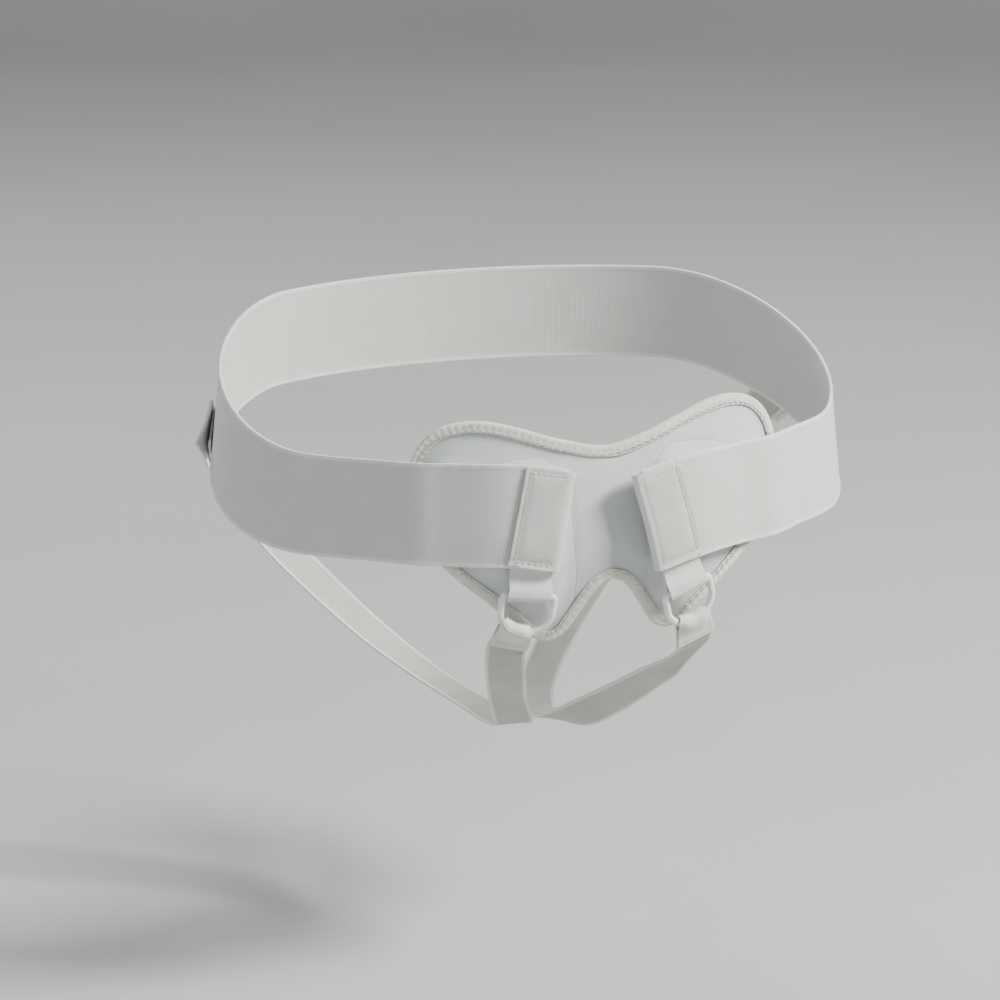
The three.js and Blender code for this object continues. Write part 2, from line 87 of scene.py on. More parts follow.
# %% Measure the way round, so that cloth can be laid out by its real length
PROBE, GIRTH_POINTS = 0.5 * MM, 721
girth_turns = np.linspace(0, 2 * math.pi, GIRTH_POINTS)
girth_steps = np.linalg.norm(np.diff(hip_point(girth_turns, 0 * girth_turns), axis=0), axis=1)
girth_table = np.concatenate([[0], np.cumsum(girth_steps)])
GIRTH = girth_table[-1]
print("girth of the hips, mm:", round(GIRTH / MM))


def turn_at(along):
    return np.interp(np.mod(along, GIRTH), girth_table, girth_turns)


def on_hips(along, height, lift):
    along, height, lift = np.broadcast_arrays(along, height, lift)
    turn = turn_at(along)
    sideways = hip_point(turn_at(along + PROBE), height) - hip_point(turn_at(along - PROBE), height)
    upward = hip_point(turn, height + PROBE) - hip_point(turn, height - PROBE)
    normal = np.cross(sideways, upward)
    normal /= np.linalg.norm(normal, axis=-1, keepdims=True)
    return hip_point(turn, height) + normal * lift[..., None]


# %% [markdown]
# ## Cutting and wrapping
# A real piece is cut flat from cloth. So each piece starts as a flat grid, the cut cloth, that is
# extruded by one unit, its thickness. Then every vertex is moved to its real place by a function
# of its three shares: along the cloth, across it, and through it. A cloth simulation could drape
# the grid, but it would pull stretched elastic off its place, and this way stays exact. The
# shares also give the UV map, in metres of cloth, so a weave keeps its size where cloth bends.

# %% Choosing a piece and editing it
print("loading leaves selected, pieces:", len(bpy.context.selected_objects))


def deselect_all():
    if bpy.context.object and bpy.context.object.mode != "OBJECT":
        bpy.ops.object.mode_set(mode="OBJECT")
    bpy.ops.object.select_all(action="DESELECT")


def choose(piece):
    deselect_all()
    piece.select_set(True)
    bpy.context.view_layer.objects.active = piece


def edit(piece, *steps):
    choose(piece)
    bpy.ops.object.mode_set(mode="EDIT")
    bpy.ops.mesh.select_all(action="SELECT")
    for step in steps:
        step()
    bpy.ops.object.mode_set(mode="OBJECT")


def face_outwards():
    bpy.ops.mesh.normals_make_consistent(inside=False)


def apply_modifiers(piece):
    choose(piece)
    for modifier in list(piece.modifiers):
        bpy.ops.object.modifier_apply(modifier=modifier.name)


# %% Reading and moving the vertices, and writing the UV map
print("vertices in the solid model:", sum(len(mesh.vertices) for mesh in bpy.data.meshes))


def vertex_places(piece):
    places = np.empty(len(piece.data.vertices) * 3)
    piece.data.vertices.foreach_get("co", places)
    return places.reshape(-1, 3)


def move_vertices(piece, places):
    piece.data.vertices.foreach_set("co", np.ascontiguousarray(places, dtype=np.float64).ravel())
    piece.data.update()


def write_uv(piece, values):
    layer = piece.data.uv_layers.active or piece.data.uv_layers.new(name="cloth")
    loop_vertices = np.empty(len(piece.data.loops), dtype=np.int32)
    piece.data.loops.foreach_get("vertex_index", loop_vertices)
    layer.data.foreach_set("uv", np.ascontiguousarray(values[loop_vertices]).ravel())


# %% Flat cloth to start from, and what finishes a piece
SOFT_ANGLE = math.radians(60)
print("edges up to this many degrees look soft:", round(math.degrees(SOFT_ANGLE)))


def flat_cloth(name, columns, rows):
    deselect_all()
    bpy.ops.mesh.primitive_grid_add(x_subdivisions=columns, y_subdivisions=rows, size=1)
    piece = bpy.context.object
    piece.name = name
    return piece


def soften(piece):
    choose(piece)
    bpy.ops.object.shade_smooth_by_angle(angle=SOFT_ANGLE)
    print(piece.name, "faces:", len(piece.data.polygons))


def finish_piece(piece, slot, *nodes):
    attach(piece, "root")
    if nodes:
        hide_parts(*nodes)


# %% Cutting a piece flat, and wrapping it
CUT_EDGE, CUT_ANGLE = 0.35 * MM, math.radians(50)
CUT_ROUNDING = 3
TO_SHARES = [0.5, 0.5, 0]
print("rounding of a cut edge, mm:", round(CUT_EDGE / MM, 2))


def cut_and_wrap(name, columns, rows, place, cloth_size):
    piece = flat_cloth(name, columns, rows)
    edit(piece, lambda: bpy.ops.mesh.extrude_region_move(
        TRANSFORM_OT_translate={"value": (0, 0, 1)}))
    shares = vertex_places(piece) + TO_SHARES
    move_vertices(piece, place(shares[:, 0], shares[:, 1], shares[:, 2]))
    write_uv(piece, shares[:, :2] * np.array(cloth_size))
    edit(piece, face_outwards)
    bevel = piece.modifiers.new("rounded cut edge", "BEVEL")
    bevel.width = CUT_EDGE
    bevel.segments = CUT_ROUNDING
    bevel.limit_method = "ANGLE"
    bevel.angle_limit = CUT_ANGLE
    apply_modifiers(piece)
    soften(piece)
    return piece


# %% [markdown]
# A tape or a ring closes on itself both ways. It starts as the same flat grid, without thickness,
# and its two pairs of edges meet when it is wrapped. Merging the doubles there closes the body.
# A curve with a bevel would also give a tube, but a grid keeps our own section and UV map.

# %% The helper for a body that closes on itself
MERGE_DISTANCE = 0.01 * MM
print("vertices become one within, mm:", round(MERGE_DISTANCE / MM, 2))


def wrap_closed(name, steps, sides, place, cloth_size):
    piece = flat_cloth(name, steps, sides)
    shares = vertex_places(piece) + TO_SHARES
    move_vertices(piece, place(shares[:, 0], shares[:, 1]))
    write_uv(piece, shares[:, :2] * np.array(cloth_size))
    edit(piece, lambda: bpy.ops.mesh.remove_doubles(threshold=MERGE_DISTANCE), face_outwards)
    soften(piece)
    return piece


# %% [markdown]
# Outlines and courses are given by a few chosen points. A curve object could join them, but we
# need its places as numbers, and the same for a row of directions. So a short formula runs a
# smooth line through the points, and a second helper walks along it in even steps.

# %% A smooth curve through chosen points, even where they lie unevenly
TINY = 1e-6
CLOSE_STEPS = 4001


def smooth_curve(points, closed, shares):
    points = np.asarray(points, dtype=float)
    count = len(points)
    spans = count if closed else count - 1
    position = np.clip(np.asarray(shares) * spans, 0, spans)
    first = np.minimum(position.astype(int), spans - 1)
    t = (position - first)[:, None]
    if closed:
        padded = points[np.mod(np.arange(-1, count + 2), count)]
    else:
        padded = np.vstack([2 * points[0] - points[1], points, 2 * points[-1] - points[-2]])
    p0, p1, p2, p3 = (padded[first + step] for step in range(4))

    def gap(a, b):
        return np.maximum(np.sqrt(np.linalg.norm(b - a, axis=1, keepdims=True)), TINY)

    d0, d1, d2 = gap(p0, p1), gap(p1, p2), gap(p2, p3)
    start = ((p1 - p0) / d0 - (p2 - p0) / (d0 + d1) + (p2 - p1) / d1) * d1
    end = ((p2 - p1) / d1 - (p3 - p1) / (d1 + d2) + (p3 - p2) / d2) * d1
    return (p1 + start * t + (-3 * p1 + 3 * p2 - 2 * start - end) * t ** 2
            + (2 * p1 - 2 * p2 + start + end) * t ** 3)


def evenly(points, closed, count):
    dense = smooth_curve(points, closed, np.linspace(0, 1, CLOSE_STEPS))
    steps = np.linalg.norm(np.diff(dense, axis=0), axis=1)
    length = np.concatenate([[0], np.cumsum(steps)])
    wanted = np.linspace(0, length[-1], count, endpoint=not closed)
    columns = [np.interp(wanted, length, dense[:, axis]) for axis in range(dense.shape[1])]
    return np.stack(columns, axis=1), length[-1]


unit_square = [(0, 0), (1, 0), (1, 1), (0, 1)]
print("smooth ring through a square's corners, long:", round(evenly(unit_square, True, 8)[1], 2))

# %% [markdown]
# ## The front panel
# The panel is foam between two layers of smooth fabric, with a thicker pad over each groin. Its
# outline is notched between the legs, with a lobe towards each hip. A simulation could blow the
# pads up, but the tape needs an exact edge. So we cut a grid whose columns each reach from the
# lower to the upper outline, and thicken it towards the pads. A sewn line round each pad pulls
# the fabric down into a groove, and a slight unevenness keeps the fabric from looking moulded.

# %% The panel's sizes and its outline, as shares of them
PANEL_HALF_WIDTH = 99.5 * MM
LOBE_RISE = 38.3 * MM
TIP_DROP = 74.3 * MM
PANEL_TURN = math.radians(1.7)
PANEL_SHIFT = 0.5 * MM
PANEL_EDGE_THICKNESS = 2.2 * MM
PANEL_FILL = 0.8 * MM
PAD_FILL = 2.2 * MM
PAD_START = 19 * MM
PAD_TOP = 21 * MM
PAD_SOFTNESS = 12 * MM
TAPE_WIDTH = 5.6 * MM
TAPE_THICKNESS = 0.8 * MM
PANEL_OUTLINE = [  # out, up
    (0.0, 0.574), (0.22, 0.69), (0.42, 0.86), (0.58, 0.974), (0.714, 1.0), (0.845, 0.92),
    (0.945, 0.705), (0.998, 0.365), (0.99, -0.054), (0.915, -0.296), (0.794, -0.485),
    (0.623, -0.68), (0.472, -0.855), (0.382, -0.962), (0.3, -1.0), (0.226, -0.955),
    (0.161, -0.828), (0.095, -0.686), (0.045, -0.622), (0.0, -0.602),
]


def on_panel(out, up):
    along = PANEL_SHIFT + out * np.cos(PANEL_TURN) - up * np.sin(PANEL_TURN)
    return np.stack([along, out * np.sin(PANEL_TURN) + up * np.cos(PANEL_TURN)], axis=-1)


half_outline = np.array([(out * PANEL_HALF_WIDTH, up * (LOBE_RISE if up > 0 else TIP_DROP))
                         for out, up in PANEL_OUTLINE])
other_half = half_outline[1:-1][::-1] * [-1, 1]
whole_outline = np.vstack([half_outline, other_half])
OUTLINE_STEPS = 560
outline, outline_length = evenly(on_panel(whole_outline[:, 0], whole_outline[:, 1]), True,
                                 OUTLINE_STEPS)
outline_way = np.roll(outline, -1, axis=0) - np.roll(outline, 1, axis=0)
outline_way /= np.linalg.norm(outline_way, axis=1, keepdims=True)
outline_inward = np.stack([outline_way[:, 1], -outline_way[:, 0]], axis=1)
print("length of the panel's edge, mm:", round(outline_length / MM))


# %% How thick the panel is at each place
def distance_to_line(along, height, line, closed):
    starts = line if closed else line[:-1]
    ends = np.roll(line, -1, axis=0) if closed else line[1:]
    way = ends - starts
    nearest = np.full(along.shape, np.inf)
    for start, step in zip(starts, way):
        share = ((along - start[0]) * step[0] + (height - start[1]) * step[1]) / (step @ step)
        share = np.clip(share, 0, 1)
        gap = np.hypot(along - start[0] - share * step[0], height - start[1] - share * step[1])
        nearest = np.minimum(nearest, gap)
    return nearest


PANEL_BACK_LIFT = TAPE_THICKNESS + CLEARANCE
PANEL_EDGE_LIFT = PANEL_BACK_LIFT + PANEL_EDGE_THICKNESS
PANEL_PAD_LIFT = PANEL_EDGE_LIFT + PANEL_FILL + PAD_FILL
coarse_outline = outline[::4]
print("height of the pads, mm:", round(PANEL_PAD_LIFT / MM, 1))


def panel_lift(along, height):
    from_edge = distance_to_line(along, height, coarse_outline, True)
    inside = smooth((from_edge - TAPE_WIDTH - MM) / PAD_SOFTNESS)
    past_middle = smooth((np.abs(along - PANEL_SHIFT) - PAD_START) / PAD_SOFTNESS)
    below_top = smooth((PAD_TOP - height) / PAD_SOFTNESS)
    return PANEL_EDGE_LIFT + inside * (PANEL_FILL + PAD_FILL * past_middle * below_top)


# %% The sewn line round each pad, from its top down its side near the middle
PAD_SEAM = np.array([  # out and up, mm
    (76, 11), (61, 16.5), (47, 19), (35, 19), (27, 14), (21.5, 4), (19.5, -12), (18.5, -28),
    (17.5, -44), (18.5, -57),
]) * MM
SEAM_GROOVE_DEPTH, SEAM_GROOVE_WIDTH = 0.3 * MM, 2.2 * MM
SEAM_STEPS = 110
FABRIC_UNEVENNESS, FABRIC_UNEVEN_SIZE = 0.14 * MM, 6 * MM
pad_seams = [evenly(on_panel(PAD_SEAM[:, 0] * sign, PAD_SEAM[:, 1]), False, SEAM_STEPS)[0]
             for sign in (-1, 1)]
print("sewn lines on the panel:", len(pad_seams))


def near(gap, width):
    return np.exp(-(gap / width) ** 2)


def ripple(along, height, size, phase=0.0):
    waves = (np.sin(along / size + 1.7 * phase) * np.cos(0.83 * height / size + phase)
             + 0.6 * np.sin(1.9 * along / size - 1.3 * height / size + 2.1 * phase)
             + 0.4 * np.cos(2.7 * height / size + 0.9 * along / size - phase))
    return waves / 2


def panel_front_lift(along, height):
    lift = panel_lift(along, height)
    for seam_points in pad_seams:
        gap = distance_to_line(along, height, seam_points, False)
        lift = lift - SEAM_GROOVE_DEPTH * near(gap, SEAM_GROOVE_WIDTH / 2)
    return lift + FABRIC_UNEVENNESS * (ripple(along, height, FABRIC_UNEVEN_SIZE) - 1)


# %% Where each column of the panel's grid starts and ends
PANEL_CLOTH = (2 * PANEL_HALF_WIDTH, 112 * MM)
COLUMNS_TO_ENDS, ROWS_TO_ENDS = 0.4, 0.8
panel_cut = outline + outline_inward * (TAPE_THICKNESS + 3 * CLEARANCE)
print("the panel is cut inside the tape by, mm:", round((TAPE_THICKNESS + 3 * CLEARANCE) / MM, 1))


def levels_at(closed_outline, along):
    starts, ends = closed_outline, np.roll(closed_outline, -1, axis=0)
    low, high = np.full(along.shape, np.inf), np.full(along.shape, -np.inf)
    for start, end in zip(starts, ends):
        crosses = (start[0] - along) * (end[0] - along) <= 0
        run = end[0] - start[0]
        level = start[1] + (along - start[0]) * (end[1] - start[1]) / (run if run else 1)
        low = np.where(crosses, np.minimum(low, level), low)
        high = np.where(crosses, np.maximum(high, level), high)
    return low, high


def finer_ends(share, to_ends):
    return mix(share, (1 - np.cos(share * math.pi)) / 2, to_ends)


# %% Cut the panel and wrap it
def panel_place(along_share, across_share, through):
    left, right = panel_cut[:, 0].min() + CLEARANCE, panel_cut[:, 0].max() - CLEARANCE
    along = mix(left, right, finer_ends(along_share, COLUMNS_TO_ENDS))
    columns, which = np.unique(along, return_inverse=True)
    low, high = levels_at(panel_cut, columns)
    height = mix(low[which], high[which], finer_ends(across_share, ROWS_TO_ENDS))
    lift = np.where(through > 0.5, panel_front_lift(along, height), PANEL_BACK_LIFT)
    return on_hips(along, height, lift)


panel = cut_and_wrap("padded_panel", columns=190, rows=104, place=panel_place,
                     cloth_size=PANEL_CLOTH)
finish_piece(panel, "panel_fabric", "front_panel")
print("panel, mm across, deep and high:", np.round(np.ptp(vertex_places(panel), axis=0) / MM))

# %% [markdown]
# ## The tape round the panel's edge
# A narrow woven tape is folded over the raw edge and sewn through both legs with a zigzag. Its
# section is a rounded U. A curve bevelled with this section would twist at the notch, so we wrap
# a closed grid along the outline instead. Each stitch draws the tape in a little, which leaves
# its surface gently scalloped.

# %% The tape's section
TAPE_TOP_LIFT = PANEL_EDGE_LIFT + CLEARANCE + TAPE_THICKNESS
ZIGZAG_PITCH, ZIGZAG_INWARD, ZIGZAG_WIDTH = 1.9 * MM, 4.1 * MM, 1.5 * MM
SCALLOP_DEPTH, SCALLOP_STRAY, SCALLOP_STRAY_SIZE = 0.28 * MM, 0.6, 11 * MM
STITCH_PULL, STITCH_PULL_WIDTH = 0.35 * MM, 1.3 * MM
TAPE_WANDER, TAPE_WANDER_SIZE = 0.3 * MM, 9 * MM
TAPE_CLOTH_WIDTH = 14 * MM


def corner(middle_in, middle_up, radius, start, end, steps=5):
    angles = np.radians(np.linspace(start, end, steps))
    return [(middle_in + radius * math.cos(a), middle_up + radius * math.sin(a)) for a in angles]


nose = 1.5 * TAPE_THICKNESS
lip = 0.45 * TAPE_THICKNESS
tape_section = np.array(
    corner(nose, nose, nose, 270, 180) + corner(nose, TAPE_TOP_LIFT - nose, nose, 180, 90)
    + [(mix(nose, TAPE_WIDTH, share), TAPE_TOP_LIFT) for share in (0.3, 0.55, 0.8)]
    + corner(TAPE_WIDTH - lip, TAPE_TOP_LIFT - lip, lip, 90, -90, 4)
    + [(TAPE_THICKNESS, TAPE_TOP_LIFT - TAPE_THICKNESS), (TAPE_THICKNESS, TAPE_THICKNESS)]
    + corner(TAPE_WIDTH - lip, lip, lip, 90, -90, 4)
    + [(mix(nose, TAPE_WIDTH, share), 0.0) for share in (0.75, 0.4)])
print("corners of the tape's section:", len(tape_section))


# %% Sweep the tape along the outline
def tape_point(step, inward, lift):
    place = outline[step] + outline_inward[step] * inward[:, None]
    return on_hips(place[:, 0], place[:, 1], lift)


def tape_place(round_share, section_share):
    step = np.round(round_share * OUTLINE_STEPS).astype(int) % OUTLINE_STEPS
    side = np.round(section_share * len(tape_section)).astype(int) % len(tape_section)
    inward, lift = tape_section[side, 0], tape_section[side, 1]
    along = step * outline_length / OUTLINE_STEPS
    front = smooth(lift / TAPE_TOP_LIFT * 2 - 1)
    stray = SCALLOP_STRAY * ripple(along, 0, SCALLOP_STRAY_SIZE)
    beat = np.cos(math.pi * along / ZIGZAG_PITCH + stray)
    pulled = near(inward - ZIGZAG_INWARD, STITCH_PULL_WIDTH)
    drawn_in = SCALLOP_DEPTH * (0.5 + 0.5 * beat) + STITCH_PULL * pulled
    wander = TAPE_WANDER * ripple(along, 0, TAPE_WANDER_SIZE) * smooth(inward / TAPE_WIDTH)
    return tape_point(step, inward + wander, lift - drawn_in * front)


tape = wrap_closed("edge_tape", OUTLINE_STEPS, len(tape_section), tape_place,
                   cloth_size=(outline_length, TAPE_CLOTH_WIDTH))
finish_piece(tape, "binding_tape", "panel_binding")
print("tape, mm from face to face:", round(TAPE_TOP_LIFT / MM, 1))

# %% [markdown]
# ## The waist band
# The band is 50 mm elastic. It runs level in front, climbs to the back, and at each end it lies
# over the panel and dips where the leg strap pulls on it. Its two edges are woven selvages, a
# little thicker than the ribbed middle. A curve with a flat bevel would do for the middle of the
# band, but not for its ends, so we cut it flat and give it a level and a lift all the way round.

# %% The band's sizes
BAND_WIDTH = 50 * MM
BAND_THICKNESS = 1.5 * MM
BAND_FRONT_HEIGHT = -8.5 * MM
BAND_BACK_RISE = 52.5 * MM
RISE_START, RISE_END = 150 * MM, 330 * MM
DROOP_START, DROOP_FULL = 58 * MM, 30 * MM
DROOP_SLOPE = math.tan(math.radians(12))
BAND_SETTLE = 24 * MM
TAB_WIDTH, TAB_HEIGHT, TAB_RAMP = 24.5 * MM, 48 * MM, 36 * MM
TAB_THICKNESS = 0.9 * MM
WEBBING_THICKNESS = MM
print("rise of the band from front to back, mm:", round(BAND_BACK_RISE / MM, 1))

# %% The two ends differ a little, as on a belt that has just been fastened
SIDES = {
    "right": dict(sign=-1, tab_edge=22.6 * MM, tab_tilt=math.radians(10), end_lift=0.0,
                  loop_shift=0.0, loop_lean=math.radians(4.4), wrap_angle=math.radians(114),
                  pull_angle=math.radians(96), turned_end=9 * MM, strap_roll=0.0, strap_shift=0.0),
    "left": dict(sign=1, tab_edge=12.8 * MM, tab_tilt=math.radians(14), end_lift=4 * MM,
                 loop_shift=1.4 * MM, loop_lean=math.radians(17), wrap_angle=math.radians(88),
                 pull_angle=math.radians(90), turned_end=10.5 * MM,
                 strap_roll=math.radians(38), strap_shift=-6 * MM),
}
print("sides:", list(SIDES))

# %% The band's level and its lift
WEBBING_TONGUE = 2 * WEBBING_THICKNESS + CLEARANCE
BAND_ON_PANEL_LIFT = PANEL_PAD_LIFT + CLEARANCE
TAB_STACK_LIFT = TAB_THICKNESS + WEBBING_TONGUE + 2 * CLEARANCE
BAND_END_INSET = TAB_THICKNESS + 2 * CLEARANCE + WEBBING_TONGUE
print("lift of the band on the panel, mm:", round(BAND_ON_PANEL_LIFT / MM, 1))


def band_level(way):
    climb = smooth((way - RISE_START) / (RISE_END - RISE_START))
    droop_length = DROOP_START - DROOP_FULL
    past = np.maximum(0, DROOP_START - way)
    droop = np.where(past < droop_length, DROOP_SLOPE * past ** 2 / (2 * droop_length),
                     DROOP_SLOPE * (past - droop_length / 2))
    return BAND_FRONT_HEIGHT + BAND_BACK_RISE * climb - droop


def tab_reach(side):
    return TAB_WIDTH + TAB_HEIGHT / 2 * math.sin(side["tab_tilt"])


def stand_off(way, side):
    length = tab_reach(side) + TAB_RAMP
    return side["end_lift"] * smooth((side["tab_edge"] + length - way) / length)


def band_lift(way, side):
    off_panel = smooth((way - PANEL_HALF_WIDTH + BAND_SETTLE / 2) / (1.5 * BAND_SETTLE))
    in_tab = smooth((side["tab_edge"] + tab_reach(side) + TAB_RAMP - way) / TAB_RAMP)
    return mix(BAND_ON_PANEL_LIFT, 0, off_panel) + TAB_STACK_LIFT * in_tab + stand_off(way, side)


# %% Cut the band and wrap it round
band_start = SIDES["left"]["tab_edge"] + BAND_END_INSET
band_end = GIRTH - SIDES["right"]["tab_edge"] - BAND_END_INSET
BAND_LENGTH = band_end - band_start
SELVAGE, SELVAGE_RISE, SELVAGE_WAVE = 1.7 * MM, 0.22 * MM, 0.1 * MM
SELVAGE_WAVE_SIZE, SELVAGE_SHARPNESS = 1.3 * MM, 1.6


def band_frame(along, upward):
    on_right = along > GIRTH / 2
    way = np.where(on_right, GIRTH - along, along)
    slope = (band_level(way + MM) - band_level(way - MM)) / (2 * MM)
    square = smooth((DROOP_START - way) / (DROOP_START - DROOP_FULL))
    height = band_level(way) + upward * mix(np.hypot(1, slope), 1 / np.hypot(1, slope), square)
    sideways = upward * (slope / np.hypot(1, slope)) * square
    place = np.where(on_right, along + sideways, along - sideways)
    way = way - sideways
    lift = np.where(on_right, band_lift(way, SIDES["right"]), band_lift(way, SIDES["left"]))
    return place, height, lift


def band_place(along_share, across_share, through):
    along = mix(band_start, band_end, along_share)
    upward = (across_share - 0.5) * BAND_WIDTH
    place, height, lift = band_frame(along, upward)
    from_edge = BAND_WIDTH / 2 - np.abs(upward)
    selvage = smooth(SELVAGE_SHARPNESS - from_edge / SELVAGE)
    thin_middle = SELVAGE_RISE * (1 - selvage)
    edge_wave = SELVAGE_WAVE * selvage * np.sin(along / SELVAGE_WAVE_SIZE)
    body = mix(thin_middle, BAND_THICKNESS - thin_middle, through) + edge_wave * through
    return on_hips(place, height, lift + body)


band = cut_and_wrap("elastic_band", columns=560, rows=40, place=band_place,
                    cloth_size=(BAND_LENGTH, BAND_WIDTH))
finish_piece(band, "band_elastic", "waist_band")
print("band length, mm:", round(BAND_LENGTH / MM))

# %% [markdown]
# ## The tabs on the band's ends
# A strip of smooth fabric is folded round each end of the band and sewn through. Between its
# rows of stitches it puffs up a little. Two flat plates with a rounded side between them would
# look alike from far off. One strip with its fold in the middle has the real fold and weave.

# %% Places on a tab and on what hangs from it
TAB_FRONT_LIFT = TAB_STACK_LIFT + BAND_THICKNESS + CLEARANCE
FOLD_INSIDE = (TAB_FRONT_LIFT - TAB_THICKNESS) / 2
FOLD_OUTSIDE = FOLD_INSIDE + TAB_THICKNESS
FOLD_MIDDLE = (TAB_FRONT_LIFT + TAB_THICKNESS) / 2
STITCH_INSET = 2.6 * MM
TAB_PUFF, TAB_PUFF_REACH, TAB_SUNK = 0.5 * MM, 1.8 * MM, 0.4 * MM
TAB_CREASE, TAB_CREASE_SIZE = 0.12 * MM, 4 * MM
TAB_FRAY, TAB_FRAY_SIZE = 0.3 * MM, 5 * MM
print("outside of a tab's fold, mm:", round(FOLD_OUTSIDE / MM, 1))


def on_tab(side, across, down):
    from_middle = across - TAB_WIDTH / 2
    middle = side["tab_edge"] + TAB_WIDTH / 2
    cos, sin = math.cos(side["tab_tilt"]), math.sin(side["tab_tilt"])
    way = middle + from_middle * cos + down * sin
    height = band_level(np.array(middle)) + from_middle * sin - down * cos
    return way, height, BAND_ON_PANEL_LIFT + stand_off(way, side)


def tab_relief(across, down, phase):
    from_side = np.minimum(TAB_WIDTH - across, across)
    from_end = TAB_HEIGHT / 2 - np.abs(down)
    nearest_row = np.minimum(np.abs(from_side - STITCH_INSET), np.abs(from_end - STITCH_INSET))
    puff = TAB_PUFF * (1 - near(nearest_row, TAB_PUFF_REACH))
    return puff - TAB_SUNK + TAB_CREASE * ripple(across, down, TAB_CREASE_SIZE, phase)


# %% Fold both tabs round the band's ends
TAB_CLOTH = 2 * TAB_WIDTH + math.pi * FOLD_MIDDLE
FLAT_SHARE, FRAY_START = 0.38, 0.8
print("cloth of a tab, mm:", round(TAB_CLOTH / MM), round(TAB_HEIGHT / MM))


def tab_place(side):
    def place(fold_share, down_share, through):
        turn = np.clip((fold_share - FLAT_SHARE) / (1 - 2 * FLAT_SHARE), 0, 1)
        flat = np.maximum(FLAT_SHARE - fold_share, fold_share - 1 + FLAT_SHARE) / FLAT_SHARE
        flat = np.clip(flat, 0, 1)
        radius = mix(FOLD_INSIDE, FOLD_OUTSIDE, through)
        across = mix(FOLD_OUTSIDE - radius * np.sin(turn * math.pi), TAB_WIDTH, flat)
        down = (down_share - 0.5) * TAB_HEIGHT
        lift = FOLD_MIDDLE + radius * np.cos(turn * math.pi)
        relief = tab_relief(across, down, 1 + side["sign"]) * through
        free_edge = smooth((flat - FRAY_START) / (1 - FRAY_START))
        frayed = TAB_FRAY * ripple(down, across, TAB_FRAY_SIZE, 3) * free_edge
        way, height, base = on_tab(side, across - np.abs(frayed), down)
        return on_hips(side["sign"] * way, height,
                       base + lift + relief * np.cos(turn * math.pi))

    return place


tabs = {}
for name, side in SIDES.items():
    tab = cut_and_wrap("tab_" + name, columns=84, rows=60, place=tab_place(side),
                       cloth_size=(TAB_CLOTH, TAB_HEIGHT))
    finish_piece(tab, "tab_fabric", "end_tab_" + name)
    tabs[name] = tab

# %% [markdown]
# ## Webbing loops and D-rings
# A short woven tape is sewn into each tab, runs down under the band, turns round the straight
# bar of the ring and goes back up on itself. The ring is moulded plastic: one long bar with a
# bow, the same round wire all the way. The tape's course is a row of four parts, straight, round,
# slanting and straight. Spinning its section round the bar would make the turn alone.

# %% Places that hang below the band's lower edge
WEBBING_WIDTH, WEBBING_INSET, WEBBING_TUCK = 20 * MM, 2.4 * MM, 12 * MM
LOOP_DROP = 12.3 * MM
RING_WIRE, RING_GAP_WIDTH, RING_GAP_HEIGHT = 3.2 * MM, 21 * MM, 15.2 * MM
RING_CORNER = 2 * MM
EYE_INSIDE = RING_WIRE / 2 + CLEARANCE
EYE_OUTSIDE = EYE_INSIDE + WEBBING_THICKNESS
RING_LIFT = EYE_OUTSIDE - WEBBING_THICKNESS - CLEARANCE / 2
WEBBING_TURN = 203
print("middle of the ring's bar below the band's edge, mm:", round(LOOP_DROP / MM, 1))


def hang_point(side, across, down, lift):
    root_across = WEBBING_INSET + side["loop_shift"] + WEBBING_WIDTH / 2
    root_way, root_height, base = on_tab(side, np.array(root_across), np.array(BAND_WIDTH / 2))
    cos, sin = math.cos(side["loop_lean"]), math.sin(side["loop_lean"])
    way = root_way + across * cos + down * sin
    height = root_height + across * sin - down * cos
    webbing_middle = TAB_THICKNESS + CLEARANCE + WEBBING_TONGUE / 2
    return on_hips(side["sign"] * way, height,
                   BAND_ON_PANEL_LIFT + stand_off(way, side) + webbing_middle + lift)


def ring_point(side, across, down, lift):
    return hang_point(side, across, LOOP_DROP + down, RING_LIFT + lift)


# %% The loop's course, as places down and lifts of its two faces
WEBBING_EDGE, WEBBING_EDGE_RISE = 1.2 * MM, 0.12 * MM
WEBBING_COCKLE, WEBBING_COCKLE_SIZE = 0.15 * MM, 1.6 * MM
NECK_RISE, NECK_RUN = 3 * EYE_OUTSIDE, 2.6 * EYE_OUTSIDE
print("the webbing closes above the bar within, mm:", round(NECK_RISE / MM, 1))


def webbing_course(share, through):
    parts = np.array([WEBBING_TUCK + LOOP_DROP, math.radians(WEBBING_TURN) * EYE_OUTSIDE,
                      NECK_RUN, WEBBING_TUCK + LOOP_DROP - NECK_RISE])
    ends = np.concatenate([[0], np.cumsum(parts) / parts.sum()])
    steps = [np.clip((share - ends[k]) / (ends[k + 1] - ends[k]), 0, 1) for k in range(4)]
    layer_lift = CLEARANCE / 2 + through * WEBBING_THICKNESS
    radius = EYE_INSIDE + through * WEBBING_THICKNESS
    angle = np.radians(-90 + WEBBING_TURN * steps[1])
    turned_down = LOOP_DROP + radius * np.cos(angle)
    turned_lift = RING_LIFT + radius * np.sin(angle)
    slant = smooth(steps[2])
    down = mix(mix(turned_down, LOOP_DROP - NECK_RISE, steps[2]), -WEBBING_TUCK, steps[3])
    down = np.where(share < ends[1], mix(-WEBBING_TUCK, LOOP_DROP, steps[0]), down)
    lift = np.where(share < ends[1], -layer_lift, mix(turned_lift, layer_lift, slant))
    return down, lift, parts.sum()


